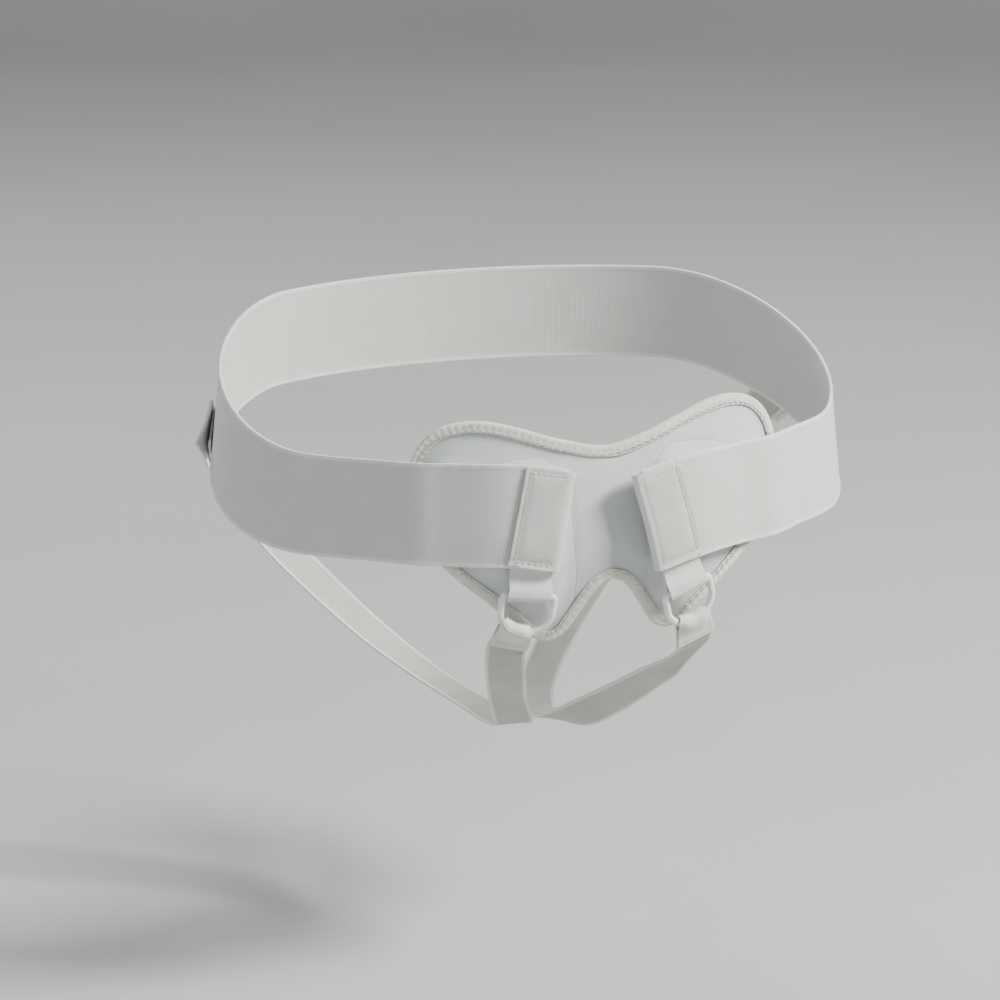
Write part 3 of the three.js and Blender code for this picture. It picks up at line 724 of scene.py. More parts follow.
# %% Cut the loops and lay them on that course
def loop_place(side):
    def place(course_share, across_share, through):
        down, lift, length = webbing_course(course_share, through)
        across = (across_share - 0.5) * WEBBING_WIDTH
        edge = smooth(1 - (WEBBING_WIDTH / 2 - np.abs(across)) / WEBBING_EDGE)
        thin = WEBBING_EDGE_RISE * (1 - edge) * (1 - 2 * through)
        cockle = WEBBING_COCKLE * np.sin(course_share * length / WEBBING_COCKLE_SIZE) * edge
        toward = np.where(lift > 0, 1, -1)
        return hang_point(side, across + cockle, down, lift + thin * toward)

    return place


webbing_length = webbing_course(np.array([0.0]), np.array([0.0]))[2]
webbing_loops = {}
for name, side in SIDES.items():
    loop = cut_and_wrap("webbing_loop_" + name, columns=110, rows=22, place=loop_place(side),
                        cloth_size=(webbing_length, WEBBING_WIDTH))
    finish_piece(loop, "webbing", "ring_loop_" + name)
    webbing_loops[name] = loop
print("webbing of a loop, mm:", round(webbing_length / MM))

# %% [markdown]
# The ring could be a torus bent into shape, or a curve with a round bevel. A grid wrapped round
# its middle line does the same and lets us add the faint seam that the mould leaves outside.

# %% The ring's middle line
RING_HALF_WIDTH = (RING_GAP_WIDTH + RING_WIRE) / 2
RING_HEIGHT = RING_GAP_HEIGHT + RING_WIRE
BOW_DEPTH = 0.55 * RING_HEIGHT
BOW_START = RING_HEIGHT - BOW_DEPTH
CORNER_POINTS, BOW_POINTS = 7, 40
print("ring, mm wide and high:", round(2 * RING_HALF_WIDTH / MM, 1), round(RING_HEIGHT / MM, 1))


def ring_line(count):
    half_bar = RING_HALF_WIDTH - RING_CORNER
    first = [(half_bar + RING_CORNER * math.sin(a), RING_CORNER * (1 - math.cos(a)))
             for a in np.linspace(0, math.pi / 2, CORNER_POINTS)]
    bow = [(RING_HALF_WIDTH * math.cos(a), BOW_START + BOW_DEPTH * math.sin(a))
           for a in np.linspace(0, math.pi, BOW_POINTS)]
    last = [(-across, down) for across, down in first[::-1]]
    bar_middle = [(0.0, 0.0)]
    closed = np.array(bar_middle + first + bow + last + bar_middle)
    reached = np.concatenate([[0], np.cumsum(np.linalg.norm(np.diff(closed, axis=0), axis=1))])
    wanted = np.linspace(0, reached[-1], count, endpoint=False)
    return np.stack([np.interp(wanted, reached, closed[:, k]) for k in (0, 1)], axis=1), reached[-1]


# %% The wire round that line
RING_STEPS, RING_SIDES = 180, 28
WIRE_FLATNESS = 0.9
MOULD_SEAM_RISE, MOULD_SEAM_WIDTH = 0.03, 0.1
ring_middle, ring_length = ring_line(RING_STEPS)
ring_way = np.roll(ring_middle, -1, axis=0) - np.roll(ring_middle, 1, axis=0)
ring_way /= np.linalg.norm(ring_way, axis=1, keepdims=True)
print("wire of a ring, mm:", round(ring_length / MM))


def ring_place(side):
    def place(round_share, section_share):
        step = np.round(round_share * RING_STEPS).astype(int) % RING_STEPS
        turn = section_share * 2 * math.pi
        bend = np.sign(np.cos(turn)) * np.abs(np.cos(turn)) ** WIRE_FLATNESS
        rise = np.sign(np.sin(turn)) * np.abs(np.sin(turn)) ** WIRE_FLATNESS
        seam = 1 + MOULD_SEAM_RISE * near(np.sin(turn), MOULD_SEAM_WIDTH) * (np.cos(turn) > 0)
        outward = RING_WIRE / 2 * bend * seam
        across = ring_middle[step, 0] + ring_way[step, 1] * outward
        down = ring_middle[step, 1] - ring_way[step, 0] * outward
        return ring_point(side, across, down, RING_WIRE / 2 * rise)

    return place


rings = {}
for name, side in SIDES.items():
    ring = wrap_closed("ring_" + name, RING_STEPS, RING_SIDES, ring_place(side),
                       cloth_size=(ring_length, math.pi * RING_WIRE))
    finish_piece(ring, "ring_plastic", "d_ring_" + name)
    rings[name] = ring

# %% [markdown]
# ## The leg straps
# Each strap is 20 mm ribbed elastic. Its end turns round the bow of its ring and is sewn to
# itself. From there the strap runs under the crotch, crosses the buttock and ends under a small
# tab on the band behind the hip. Its edges are thicker and slightly lumpy. A path curve with a
# bevel would twist by its own rules, so the route says at each point which way the cloth looks.

# %% Sizes of the straps, and their route below the ring
STRAP_WIDTH, STRAP_THICKNESS = 20 * MM, 1.4 * MM
CROTCH_DROP = 149 * MM
HIP_TAB_LENGTH, HIP_TAB_HEIGHT, HIP_TAB_THICKNESS = 28 * MM, 25 * MM, 2 * MM
HIP_TAB_ALONG, HIP_TAB_LEVEL, HIP_TAB_PEEL = 248 * MM, 15 * MM, 5.5 * MM
HIP_TAB_CLIMB = math.radians(38)
WRAP_SETTLE, WRAP_STRAIGHTEN = 8 * MM, 12 * MM
WRAP_SPAN = math.radians(88)
# Below its ring a strap rolls about its own length, and unrolls on its way under the crotch.
ROLL_START, ROLL_END, ROLL_FADE = 34 * MM, 98 * MM, 60 * MM
# The route's first points move sideways with it by these shares.
ROUTE_SHIFT_SHARES = np.array([1.0, 0.7, 0.15])
UNDER_TAB_SHARES = np.array([2, 1.4, 1, 0.7, 0.4, 0.12])
STRAP_ROUTE = np.array([  # across, back, down, and the way that the outer face looks
    (0.28, -0.83, 0.665, 0.45, -0.65, -0.55), (0.235, -0.67, 0.745, 0.4, -0.62, -0.67),
    (0.168, -0.45, 0.85, 0.2, -0.62, -0.76), (0.1, -0.22, 0.95, 0.1, -0.55, -0.84),
    (0.071, 0.035, 1.0, 0.0, 0.0, -1.0), (0.104, 0.296, 0.987, 0.1, 0.2, -0.97),
    (0.209, 0.557, 0.913, 0.25, 0.45, -0.85), (0.356, 0.748, 0.775, 0.35, 0.7, -0.6),
    (0.53, 0.84, 0.58, 0.5, 0.8, -0.3), (0.7, 0.765, 0.38, 0.7, 0.7, -0.1),
])
print("points of the route:", len(STRAP_ROUTE))


def unit(vectors):
    return vectors / np.linalg.norm(vectors, axis=-1, keepdims=True)


# %% Where the strap lies round its ring
print("a strap takes up of its ring, degrees:", round(math.degrees(WRAP_SPAN)))


def bow_point(angle):
    return np.stack([-RING_HALF_WIDTH * np.cos(angle),
                     BOW_START + BOW_DEPTH * np.sin(angle)], axis=-1)


def bow_inward(angle):
    return unit(np.stack([BOW_DEPTH * np.cos(angle), -RING_HALF_WIDTH * np.sin(angle)], axis=-1))


def wrap_point(side, across_share, down, lift):
    pull = -bow_inward(np.array(side["pull_angle"]))
    across_way = np.array([pull[1], -pull[0]])
    angle = side["wrap_angle"] + (across_share - 0.5) * WRAP_SPAN
    curved = bow_point(angle) + pull * down[..., None]
    straight = (bow_point(np.array(side["wrap_angle"])) + pull * down[..., None]
                + across_way * ((across_share - 0.5) * STRAP_WIDTH)[..., None])
    place = mix(curved, straight, smooth(down / WRAP_STRAIGHTEN)[..., None])
    return ring_point(side, place[..., 0], place[..., 1], lift)


def layer_lift(down, through):
    inner = mix(EYE_INSIDE, CLEARANCE / 2, smooth(down / WRAP_SETTLE))
    return inner + through * STRAP_THICKNESS


def hairpin_point(side, across_share, turn, through):
    angle = side["wrap_angle"] + (across_share - 0.5) * WRAP_SPAN
    radius = EYE_INSIDE + through * STRAP_THICKNESS
    place = bow_point(angle) + bow_inward(angle) * (radius * np.sin(turn))[..., None]
    return ring_point(side, place[..., 0], place[..., 1], radius * np.cos(turn))


# %% The strap's middle line after the ring
COURSE_POINTS = 1201
print("deepest point of the straps' middle, mm:", round(-CROTCH_DROP / MM))


def on_hip_tab(side, back, up, lift):
    cos, sin = math.cos(HIP_TAB_CLIMB), math.sin(HIP_TAB_CLIMB)
    way = HIP_TAB_ALONG + back * cos + up * sin
    height = HIP_TAB_LEVEL - back * sin + up * cos
    return on_hips(side["sign"] * way, height, lift)


def strap_middle(side):
    half = np.array([0.5, 0.5])
    downs = np.array([0.3, 1]) * WRAP_STRAIGHTEN
    start = wrap_point(side, half, downs, -CLEARANCE / 2 - STRAP_THICKNESS / 2)
    zero = np.zeros(1)
    facing = unit(ring_point(side, zero, zero, MM) - ring_point(side, zero, zero, 0.0))
    size = np.array([side["sign"] * HIP_HALF_WIDTH, HIP_HALF_DEPTH, -CROTCH_DROP])
    route = STRAP_ROUTE[:, :3] * size
    route[:len(ROUTE_SHIFT_SHARES), 0] += side["strap_shift"] * ROUTE_SHIFT_SHARES
    looks = unit(STRAP_ROUTE[:, 3:] * [side["sign"], 1, 1])
    back = UNDER_TAB_SHARES * HIP_TAB_LENGTH
    on_band = BAND_THICKNESS + CLEARANCE + STRAP_THICKNESS / 2
    end = on_hip_tab(side, back, 0 * back, on_band)
    end_looks = unit(on_hip_tab(side, back, 0 * back, on_band + MM) - end)
    return np.vstack([start, route, end]), np.vstack([facing, facing, looks, end_looks])


# %% How the strap turns about that line
def along_strap(side):
    points, looks = strap_middle(side)
    shares = np.linspace(1 / (len(points) - 1), 1, COURSE_POINTS)
    line = smooth_curve(points, False, shares)
    facing = smooth_curve(looks, False, shares)
    reached = np.concatenate([[0], np.cumsum(np.linalg.norm(np.diff(line, axis=0), axis=1))])
    way = unit(np.gradient(line, axis=0))
    facing = unit(facing - way * (facing * way).sum(axis=1, keepdims=True))
    roll = smooth(reached / ROLL_START) * (1 - smooth((reached - ROLL_END) / ROLL_FADE))
    roll = (side["strap_roll"] * roll)[:, None]
    facing = facing * np.cos(roll) + np.cross(way, facing) * np.sin(roll)
    across = np.cross(facing, way) * side["sign"]
    edges = wrap_point(side, np.array([0.0, 1.0]), np.array([1.0, 1.0]) * WRAP_STRAIGHTEN, 0.0)
    eased = smooth(reached / (2 * STRAP_WIDTH))[:, None]
    across = mix(unit(edges[1] - edges[0]), across, eased)
    across = unit(across - way * (across * way).sum(axis=1, keepdims=True))
    facing = unit(np.cross(way, across)) * side["sign"]
    return reached, line, facing, across


def looked_up(wanted, reached, values):
    columns = [np.interp(wanted, reached, values[:, k]) for k in range(values.shape[1])]
    return np.stack(columns, axis=-1)


for name, side in SIDES.items():
    print(name, "strap from ring to hip tab, mm:", round(along_strap(side)[0][-1] / MM))

# %% The strap's own relief: cords along its edges, and a bulge where it turns round the ring
HAIRPIN = math.pi * (EYE_INSIDE + STRAP_THICKNESS / 2)
CORD_INSET, CORD_WIDTH, CORD_LUMP_SIZE = 0.9 * MM, 0.8 * MM, 0.62 * MM
MIDDLE_SUNK, CORD_RISE, CORD_LUMP = 0.26 * MM, 0.22 * MM, 0.12 * MM
EDGE_WANDER, EDGE_WANDER_REACH = 0.22 * MM, 1.2 * MM
BULGE, BULGE_CREASE, BULGE_REACH = 1.1 * MM, 0.3 * MM, 9 * MM
BULGE_EDGE, BULGE_CREASE_SIZE = 5 * MM, 2.4 * MM
BULGE_MIDDLE, CORDS_OUT_OF_STEP = 0.3 * HAIRPIN, 3
print("strap round a ring, mm:", round(HAIRPIN / MM, 1))


def strap_relief(past_fold, gone, across, through):
    from_edge = STRAP_WIDTH / 2 - np.abs(across)
    near_ring = smooth(1 - np.abs(past_fold - BULGE_MIDDLE) / BULGE_REACH)
    cord = near(from_edge - CORD_INSET, CORD_WIDTH) * (1 - near_ring)
    beat = gone / CORD_LUMP_SIZE + CORDS_OUT_OF_STEP * np.sign(across)
    lump = 0.5 + 0.5 * np.sin(beat)
    thin = MIDDLE_SUNK - cord * (CORD_RISE + CORD_LUMP * lump)
    wander = EDGE_WANDER * (lump - 1) * smooth(1 - from_edge / EDGE_WANDER_REACH)
    bulge = near_ring * (BULGE + BULGE_CREASE * ripple(gone, across, BULGE_CREASE_SIZE, 2))
    bulge = through * bulge * smooth(from_edge / BULGE_EDGE)
    depth = through + ((1 - 2 * through) * thin + bulge) / STRAP_THICKNESS
    return (across + wander * np.sign(across)) / STRAP_WIDTH + 0.5, depth


# %% Cut the straps and lay them on their course
def strap_place(side):
    reached, line, facing, across_line = along_strap(side)
    turned = side["turned_end"]
    length = turned + HAIRPIN + WRAP_STRAIGHTEN + reached[-1]

    def place(course_share, across_share, through):
        gone = course_share * length
        across_now, depth = strap_relief(gone - turned, gone,
                                         (across_share - 0.5) * STRAP_WIDTH, through)
        down = np.clip(turned - gone, 0, None)
        front = wrap_point(side, across_now, down, layer_lift(down, depth))
        turn = np.clip((gone - turned) / HAIRPIN, 0, 1) * math.pi
        round_ring = hairpin_point(side, across_now, turn, depth)
        back_down = np.clip(gone - turned - HAIRPIN, 0, WRAP_STRAIGHTEN)
        behind = wrap_point(side, across_now, back_down, -layer_lift(back_down, depth))
        past = gone - turned - HAIRPIN - WRAP_STRAIGHTEN
        after = np.clip(past, 0, None)
        middle = looked_up(after, reached, line)
        out = unit(looked_up(after, reached, facing))
        sideways = unit(looked_up(after, reached, across_line))
        onward = (middle + sideways * ((across_now - 0.5) * STRAP_WIDTH)[:, None]
                  + out * ((0.5 - depth) * STRAP_THICKNESS)[:, None])
        result = np.where((gone < turned)[:, None], front, round_ring)
        result = np.where((gone > turned + HAIRPIN)[:, None], behind, result)
        return np.where((past > 0)[:, None], onward, result)

    return place, length


straps = {}
for name, side in SIDES.items():
    place, strap_length = strap_place(side)
    strap = cut_and_wrap("strap_" + name, columns=620, rows=22, place=place,
                         cloth_size=(strap_length, STRAP_WIDTH))
    finish_piece(strap, "strap_elastic", "leg_strap_" + name)
    straps[name] = strap
    print("strap", name, "mm:", round(strap_length / MM))

# %% [markdown]
# ## The tabs behind the hips
# Two layers of fabric sewn together, with the hook side of a hook and loop fastener under them.
# The strap's end lies between the tab and the band. The front lower corner has lifted. Bending
# a flat plate by hand would lift it too. One rule for the lift keeps the rest of the tab lying.

# %% Cut the hip tabs
HIP_TAB_UNDER = BAND_THICKNESS + STRAP_THICKNESS + 2 * CLEARANCE
HIP_TAB_PUFF, HIP_TAB_PUFF_REACH = 0.3 * MM, 1.6 * MM
HIP_TAB_ROUNDING, HIP_TAB_ROUNDING_REACH = 0.5 * MM, 1.2 * MM
HIP_TAB_CREASE, HIP_TAB_CREASE_SIZE = 0.1 * MM, 4 * MM
print("a hip tab's corner has lifted by, mm:", round(HIP_TAB_PEEL / MM, 1))


def hip_tab_place(side):
    def place(back_share, up_share, through):
        back = back_share * HIP_TAB_LENGTH
        up = (up_share - 0.5) * HIP_TAB_HEIGHT
        peel = HIP_TAB_PEEL * ((1 - back_share) * (1 - up_share)) ** 2
        from_edge = np.minimum(np.minimum(back, HIP_TAB_LENGTH - back),
                               HIP_TAB_HEIGHT / 2 - np.abs(up))
        sunk = HIP_TAB_PUFF * near(from_edge - STITCH_INSET, HIP_TAB_PUFF_REACH)
        sunk = sunk + HIP_TAB_ROUNDING * smooth(1 - from_edge / HIP_TAB_ROUNDING_REACH)
        relief = through * (HIP_TAB_CREASE * ripple(back, up, HIP_TAB_CREASE_SIZE) - sunk)
        return on_hip_tab(side, back, up,
                          HIP_TAB_UNDER + peel + through * HIP_TAB_THICKNESS + relief)

    return place


hip_tabs = {}
for name, side in SIDES.items():
    hip_tab = cut_and_wrap("hook_tab_" + name, columns=70, rows=62, place=hip_tab_place(side),
                           cloth_size=(HIP_TAB_LENGTH, HIP_TAB_HEIGHT))
    finish_piece(hip_tab, "tab_fabric", "hip_tab_" + name)
    hip_tabs[name] = hip_tab

# %% [markdown]
# ## The sewing
# Every seam is thread that dives into the cloth and comes up again. A picture of stitches on the
# cloth would look flat where light falls along it. So we model one stitch, a short bulging
# thread, repeat it with an Array modifier, and move each copy to its own place between two
# needle holes.

# %% One stitch, repeated along a seam
THREAD = 0.45 * MM
STITCH_SIDES, STITCH_RINGS, COPY_GAP = 8, 7, 3
STITCH_TOP, STITCH_DIVE = 0.35, 0.75
print("thickness of the thread, mm:", round(THREAD / MM, 2))


def sewn(name, starts, ends, outs, thread=THREAD):
    deselect_all()
    bpy.ops.mesh.primitive_uv_sphere_add(segments=STITCH_SIDES, ring_count=STITCH_RINGS, radius=1)
    piece = bpy.context.object
    piece.name = name
    in_one = len(piece.data.vertices)
    repeat = piece.modifiers.new("stitches", "ARRAY")
    repeat.count = len(starts)
    repeat.use_relative_offset = False
    repeat.use_constant_offset = True
    repeat.constant_offset_displace = (COPY_GAP, 0, 0)
    apply_modifiers(piece)
    places = vertex_places(piece)
    which = np.arange(len(places)) // in_one
    local = places - np.stack([COPY_GAP * which, 0 * which, 0 * which], axis=1)
    middle, half = (starts + ends) / 2, (ends - starts) / 2
    sideways = unit(np.cross(half, outs))
    rise = thread * (STITCH_TOP - STITCH_DIVE * local[:, 2:3] ** 2 + local[:, 1:2] / 2)
    moved = (middle[which] + half[which] * local[:, 2:3]
             + sideways[which] * local[:, 0:1] * thread / 2 + outs[which] * rise)
    move_vertices(piece, moved)
    edit(piece, face_outwards)
    choose(piece)
    bpy.ops.object.shade_smooth()
    finish_piece(piece, None)
    return piece


# %% Stitches one after another, and the needle holes between them
STITCH_SHARE, HOLE_SUNK = 0.72, 0.05 * MM
seams, hole_rows = [], []
print("a stitch shows on the top for this share of its step:", STITCH_SHARE)


def straight_row(points, outs):
    starts, ends = points[:-1], points[1:]
    middle, half = (starts + ends) / 2, (ends - starts) / 2
    return middle - half * STITCH_SHARE, middle + half * STITCH_SHARE, unit(outs[:-1] + outs[1:])


def holes_of(points, outs):
    return points[:-1] - outs[:-1] * HOLE_SUNK, np.diff(points, axis=0), outs[:-1]


# %% The zigzag through the tape
ZIGZAG_SUNK, ZIGZAG_HOLE_SUNK = 0.12 * MM, 0.06 * MM
zigzag_count = 2 * round(outline_length / ZIGZAG_PITCH / 2)
zigzag_steps = np.arange(zigzag_count + 1) * OUTLINE_STEPS / zigzag_count
zigzag_side = np.where(np.arange(zigzag_count + 1) % 2 == 0, -0.5, 0.5)


def tape_seam_point(step, inward, lift):
    steps = np.arange(OUTLINE_STEPS + 1)
    whole = np.mod(step, OUTLINE_STEPS)
    place = looked_up(whole, steps, np.vstack([outline, outline[:1]]))
    into = looked_up(whole, steps, np.vstack([outline_inward, outline_inward[:1]]))
    place = place + into * inward[:, None]
    return on_hips(place[:, 0], place[:, 1], lift)


zigzag_inward = ZIGZAG_INWARD + zigzag_side * ZIGZAG_WIDTH
zigzag_lift = TAPE_TOP_LIFT - ZIGZAG_SUNK
zigzag = tape_seam_point(zigzag_steps, zigzag_inward, zigzag_lift)
zigzag_out = unit(tape_seam_point(zigzag_steps, zigzag_inward, zigzag_lift + MM) - zigzag)
seams.append(sewn("zigzag_stitches", zigzag[:-1], zigzag[1:], zigzag_out[:-1]))
inner = slice(1, -1, 2)
hole_rows.append((zigzag[inner] - zigzag_out[inner] * ZIGZAG_HOLE_SUNK,
                  zigzag[2::2] - zigzag[:-2:2], zigzag_out[inner]))
print("zigzag stitches:", zigzag_count)

# %% The rows round each pad
PAD_STITCHES = 52


def seam_lift(places, more=0.0):
    return on_hips(places[:, 0], places[:, 1],
                   panel_front_lift(places[:, 0], places[:, 1]) + more)


for name, seam_points in zip(("right", "left"), pad_seams):
    picked = np.linspace(0, len(seam_points) - 1, PAD_STITCHES).round().astype(int)
    points = seam_lift(seam_points[picked])
    outs = unit(seam_lift(seam_points[picked], MM) - points)
    seams.append(sewn("pad_stitches_" + name, *straight_row(points, outs)))
    hole_rows.append(holes_of(points, outs))
print("step of a pad's stitches, mm:", round(np.linalg.norm(points[1] - points[0]) / MM, 1))

# %% The rows on each tab, along its fold, its free edge and its two ends
STITCH_LENGTH, ROW_SUNK = 2.6 * MM, 0.3 * MM
ROW_FROM_FOLD = 1.2 * MM
near_fold, near_free_edge = FOLD_OUTSIDE + ROW_FROM_FOLD, TAB_WIDTH - STITCH_INSET
top_row, bottom_row = -TAB_HEIGHT / 2 + STITCH_INSET, TAB_HEIGHT / 2 - STITCH_INSET
print("rows on a tab, mm apart:", round((near_free_edge - near_fold) / MM, 1))


def tab_seam(side, across, down):
    way, height, base = on_tab(side, across, down)
    lift = TAB_FRONT_LIFT + TAB_THICKNESS - ROW_SUNK
    place = on_hips(side["sign"] * way, height, base + lift)
    return place, unit(on_hips(side["sign"] * way, height, base + lift + MM) - place)


for name, side in SIDES.items():
    rows = []
    for across in (near_fold, near_free_edge):
        downs = np.linspace(top_row, bottom_row, round((bottom_row - top_row) / STITCH_LENGTH))
        points, outs = tab_seam(side, across + 0 * downs, downs)
        rows.append(straight_row(points, outs))
        hole_rows.append(holes_of(points, outs))
    for down in (top_row, bottom_row):
        run = near_free_edge - near_fold
        acrosses = np.linspace(near_fold, near_free_edge, round(run / STITCH_LENGTH))
        rows.append(straight_row(*tab_seam(side, acrosses, down + 0 * acrosses)))
    seams.append(sewn("tab_stitches_" + name, *(np.vstack(part) for part in zip(*rows))))

# %% The row that closes each strap's turned end
WRAP_ROW_SHARES = np.linspace(0.08, 0.92, 12)
WRAP_ROW_INSET, WRAP_ROW_SUNK = 2.2 * MM, 0.15 * MM
print("stitches on each turned end:", len(WRAP_ROW_SHARES) - 1)


def wrap_row(side):
    downs = side["turned_end"] - WRAP_ROW_INSET + 0 * WRAP_ROW_SHARES
    lifts = layer_lift(downs, 1.0) - WRAP_ROW_SUNK
    points = wrap_point(side, WRAP_ROW_SHARES, downs, lifts)
    outs = unit(wrap_point(side, WRAP_ROW_SHARES, downs, lifts + MM) - points)
    return straight_row(points, outs)


# %% The box of stitches on each hip tab, and the sewing of both ends of each strap
back_ends = (STITCH_INSET, HIP_TAB_LENGTH - STITCH_INSET)
up_ends = HIP_TAB_HEIGHT / 2 - STITCH_INSET
box_corners = [(back_ends[0], -up_ends), (back_ends[1], -up_ends), (back_ends[1], up_ends),
               (back_ends[0], up_ends), (back_ends[0], -up_ends)]


def box_row(side, start, end):
    run = math.hypot(end[0] - start[0], end[1] - start[1])
    share = np.linspace(0, 1, round(run / STITCH_LENGTH) + 1)
    backs, ups = mix(start[0], end[0], share), mix(start[1], end[1], share)
    peel = ((1 - backs / HIP_TAB_LENGTH) * (0.5 - ups / HIP_TAB_HEIGHT)) ** 2
    lift = HIP_TAB_UNDER + HIP_TAB_THICKNESS - ROW_SUNK + HIP_TAB_PEEL * peel
    points = on_hip_tab(side, backs, ups, lift)
    return straight_row(points, unit(on_hip_tab(side, backs, ups, lift + MM) - points))


for name, side in SIDES.items():
    seams.append(sewn("wrap_stitches_" + name, *wrap_row(side)))
    rows = [box_row(side, start, end) for start, end in zip(box_corners[:-1], box_corners[1:])]
    seams.append(sewn("hip_tab_stitches_" + name, *(np.vstack(part) for part in zip(*rows))))
print("stitches on each hip tab:", sum(len(row[0]) for row in rows))

# %% [markdown]
# Each time the needle goes down it leaves a small hole. Boolean cuts through every layer would
# make real ones, and hundreds of cuts are slow and tear thin cloth. At this size a small dark
# dent looks the same, so we lay the stitch shape across the row and give it a dark material:
# painted shade, for the shade inside each hole.

# %% The needle holes between the stitches
HOLE = 0.42 * MM
hole_places, hole_ways, hole_outs = (np.vstack(part) for part in zip(*hole_rows))
hole_ways = unit(hole_ways) * HOLE / 2
holes = sewn("needle_holes", hole_places - hole_ways, hole_places + hole_ways, hole_outs, HOLE)
print("needle holes:", len(hole_places))

# %% [markdown]
# ## Shared effects
# Three small node groups serve several materials. The first gives a soft uneven mask, for cloth
# that is never quite one colour. The other two give the height of a ribbed knit and of a fine
# weave. Real ribs and threads as mesh would take millions of faces, and an image would blur close
# up. A formula on the cloth's own UV map, which is in metres, keeps every rib at its real pitch.

# %% Helpers for node groups
print("node groups so far:", len(bpy.data.node_groups))


def new_group(name, inputs, outputs):
    group = bpy.data.node_groups.new(name, "ShaderNodeTree")
    for label, kind, value in inputs:
        socket = group.interface.new_socket(label, in_out="INPUT", socket_type=kind)
        if value is not None:
            socket.default_value = value
    for label, kind in outputs:
        group.interface.new_socket(label, in_out="OUTPUT", socket_type=kind)
    return group, group.nodes.new("NodeGroupInput"), group.nodes.new("NodeGroupOutput")


def node(tree, kind, source=None, **values):
    made = tree.nodes.new(kind)
    for label, value in values.items():
        made.inputs[label.replace("_", " ")].default_value = value
    if source:
        tree.links.new(source, made.inputs[0])
    return made


def calculate(tree, operation, first, second=None, third=None):
    made = tree.nodes.new("ShaderNodeMath")
    made.operation = operation
    for slot, value in enumerate((first, second, third)):
        if value is None:
            continue
        if isinstance(value, (int, float)):
            made.inputs[slot].default_value = value
        else:
            tree.links.new(value, made.inputs[slot])
    return made.outputs[0]


# %% The uneven mask
uneven, uneven_in, uneven_out = new_group(
    "uneven cloth", [("Place", "NodeSocketVector", None), ("Size", "NodeSocketFloat", 60.0)],
    [("Mask", "NodeSocketFloat")])
clouds = node(uneven, "ShaderNodeTexNoise", uneven_in.outputs["Place"], Detail=5.0, Roughness=0.6)
uneven.links.new(uneven_in.outputs["Size"], clouds.inputs["Scale"])
spread = node(uneven, "ShaderNodeMapRange", clouds.outputs["Fac"], From_Min=0.35, From_Max=0.65)
uneven.links.new(spread.outputs["Result"], uneven_out.inputs["Mask"])
print("nodes of the uneven mask:", len(uneven.nodes))

# %% The ribbed knit: its ribs run across the cloth's length
RIB_WANDER, RIB_WANDER_SCALE = 0.5, 180.0
ribbed, ribbed_in, ribbed_out = new_group(
    "ribbed knit",
    [("Cloth", "NodeSocketVector", None), ("Rib pitch", "NodeSocketFloat", 1.3 * MM),
     ("Loop pitch", "NodeSocketFloat", 0.7 * MM), ("Place", "NodeSocketVector", None)],
    [("Height", "NodeSocketFloat"), ("Valley", "NodeSocketFloat")])
apart = node(ribbed, "ShaderNodeSeparateXYZ", ribbed_in.outputs["Cloth"])
bend = node(ribbed, "ShaderNodeTexNoise", ribbed_in.outputs["Place"], Scale=RIB_WANDER_SCALE,
            Detail=2.0)
off_course = calculate(ribbed, "SUBTRACT", bend.outputs["Fac"], 0.5)
wobble = calculate(ribbed, "MULTIPLY", off_course, RIB_WANDER)
rib_count = calculate(ribbed, "DIVIDE", apart.outputs["X"], ribbed_in.outputs["Rib pitch"])
rib_turn = calculate(ribbed, "MULTIPLY", calculate(ribbed, "ADD", rib_count, wobble), 2 * math.pi)
rib = calculate(ribbed, "MULTIPLY_ADD", calculate(ribbed, "SINE", rib_turn), 0.5, 0.5)
print("nodes of the ribs:", len(ribbed.nodes))

# %% A finer row of loops along each rib, leaning to the sides as knitted loops do
LOOP_LEAN, LOOP_SHARE = 1.6, 0.35
loop_count = calculate(ribbed, "DIVIDE", apart.outputs["Y"], ribbed_in.outputs["Loop pitch"])
half_turn = calculate(ribbed, "MULTIPLY", rib_turn, 0.5)
off_rib = calculate(ribbed, "ABSOLUTE", calculate(ribbed, "SINE", half_turn))
lean = calculate(ribbed, "MULTIPLY", off_rib, LOOP_LEAN)
loop_turn = calculate(ribbed, "MULTIPLY_ADD", loop_count, 2 * math.pi, lean)
loops = calculate(ribbed, "MULTIPLY_ADD", calculate(ribbed, "SINE", loop_turn), 0.5, 0.5)
ribs_alone = calculate(ribbed, "MULTIPLY", rib, 1 - LOOP_SHARE)
height = calculate(ribbed, "MULTIPLY_ADD", loops, LOOP_SHARE, ribs_alone)
ribbed.links.new(height, ribbed_out.inputs["Height"])
ribbed.links.new(calculate(ribbed, "SUBTRACT", 1.0, rib), ribbed_out.inputs["Valley"])
print("nodes with the loops:", len(ribbed.nodes))

# %% The fine weave: two crossing sets of threads, each over and under in turn
woven, woven_in, woven_out = new_group(
    "fine weave",
    [("Cloth", "NodeSocketVector", None), ("Pitch", "NodeSocketFloat", 0.6 * MM)],
    [("Height", "NodeSocketFloat")])
apart = node(woven, "ShaderNodeSeparateXYZ", woven_in.outputs["Cloth"])
waves = []
for axis in ("X", "Y"):
    threads = calculate(woven, "DIVIDE", apart.outputs[axis], woven_in.outputs["Pitch"])
    waves.append(calculate(woven, "SINE", calculate(woven, "MULTIPLY", threads, math.pi)))
crossing = calculate(woven, "MULTIPLY", waves[0], waves[1])
one_set = calculate(woven, "ABSOLUTE", waves[0])
other_set = calculate(woven, "ABSOLUTE", waves[1])
over = calculate(woven, "GREATER_THAN", crossing, 0.0)
picked = woven.nodes.new("ShaderNodeMix")
woven.links.new(over, picked.inputs["Factor"])
woven.links.new(one_set, picked.inputs["A"])
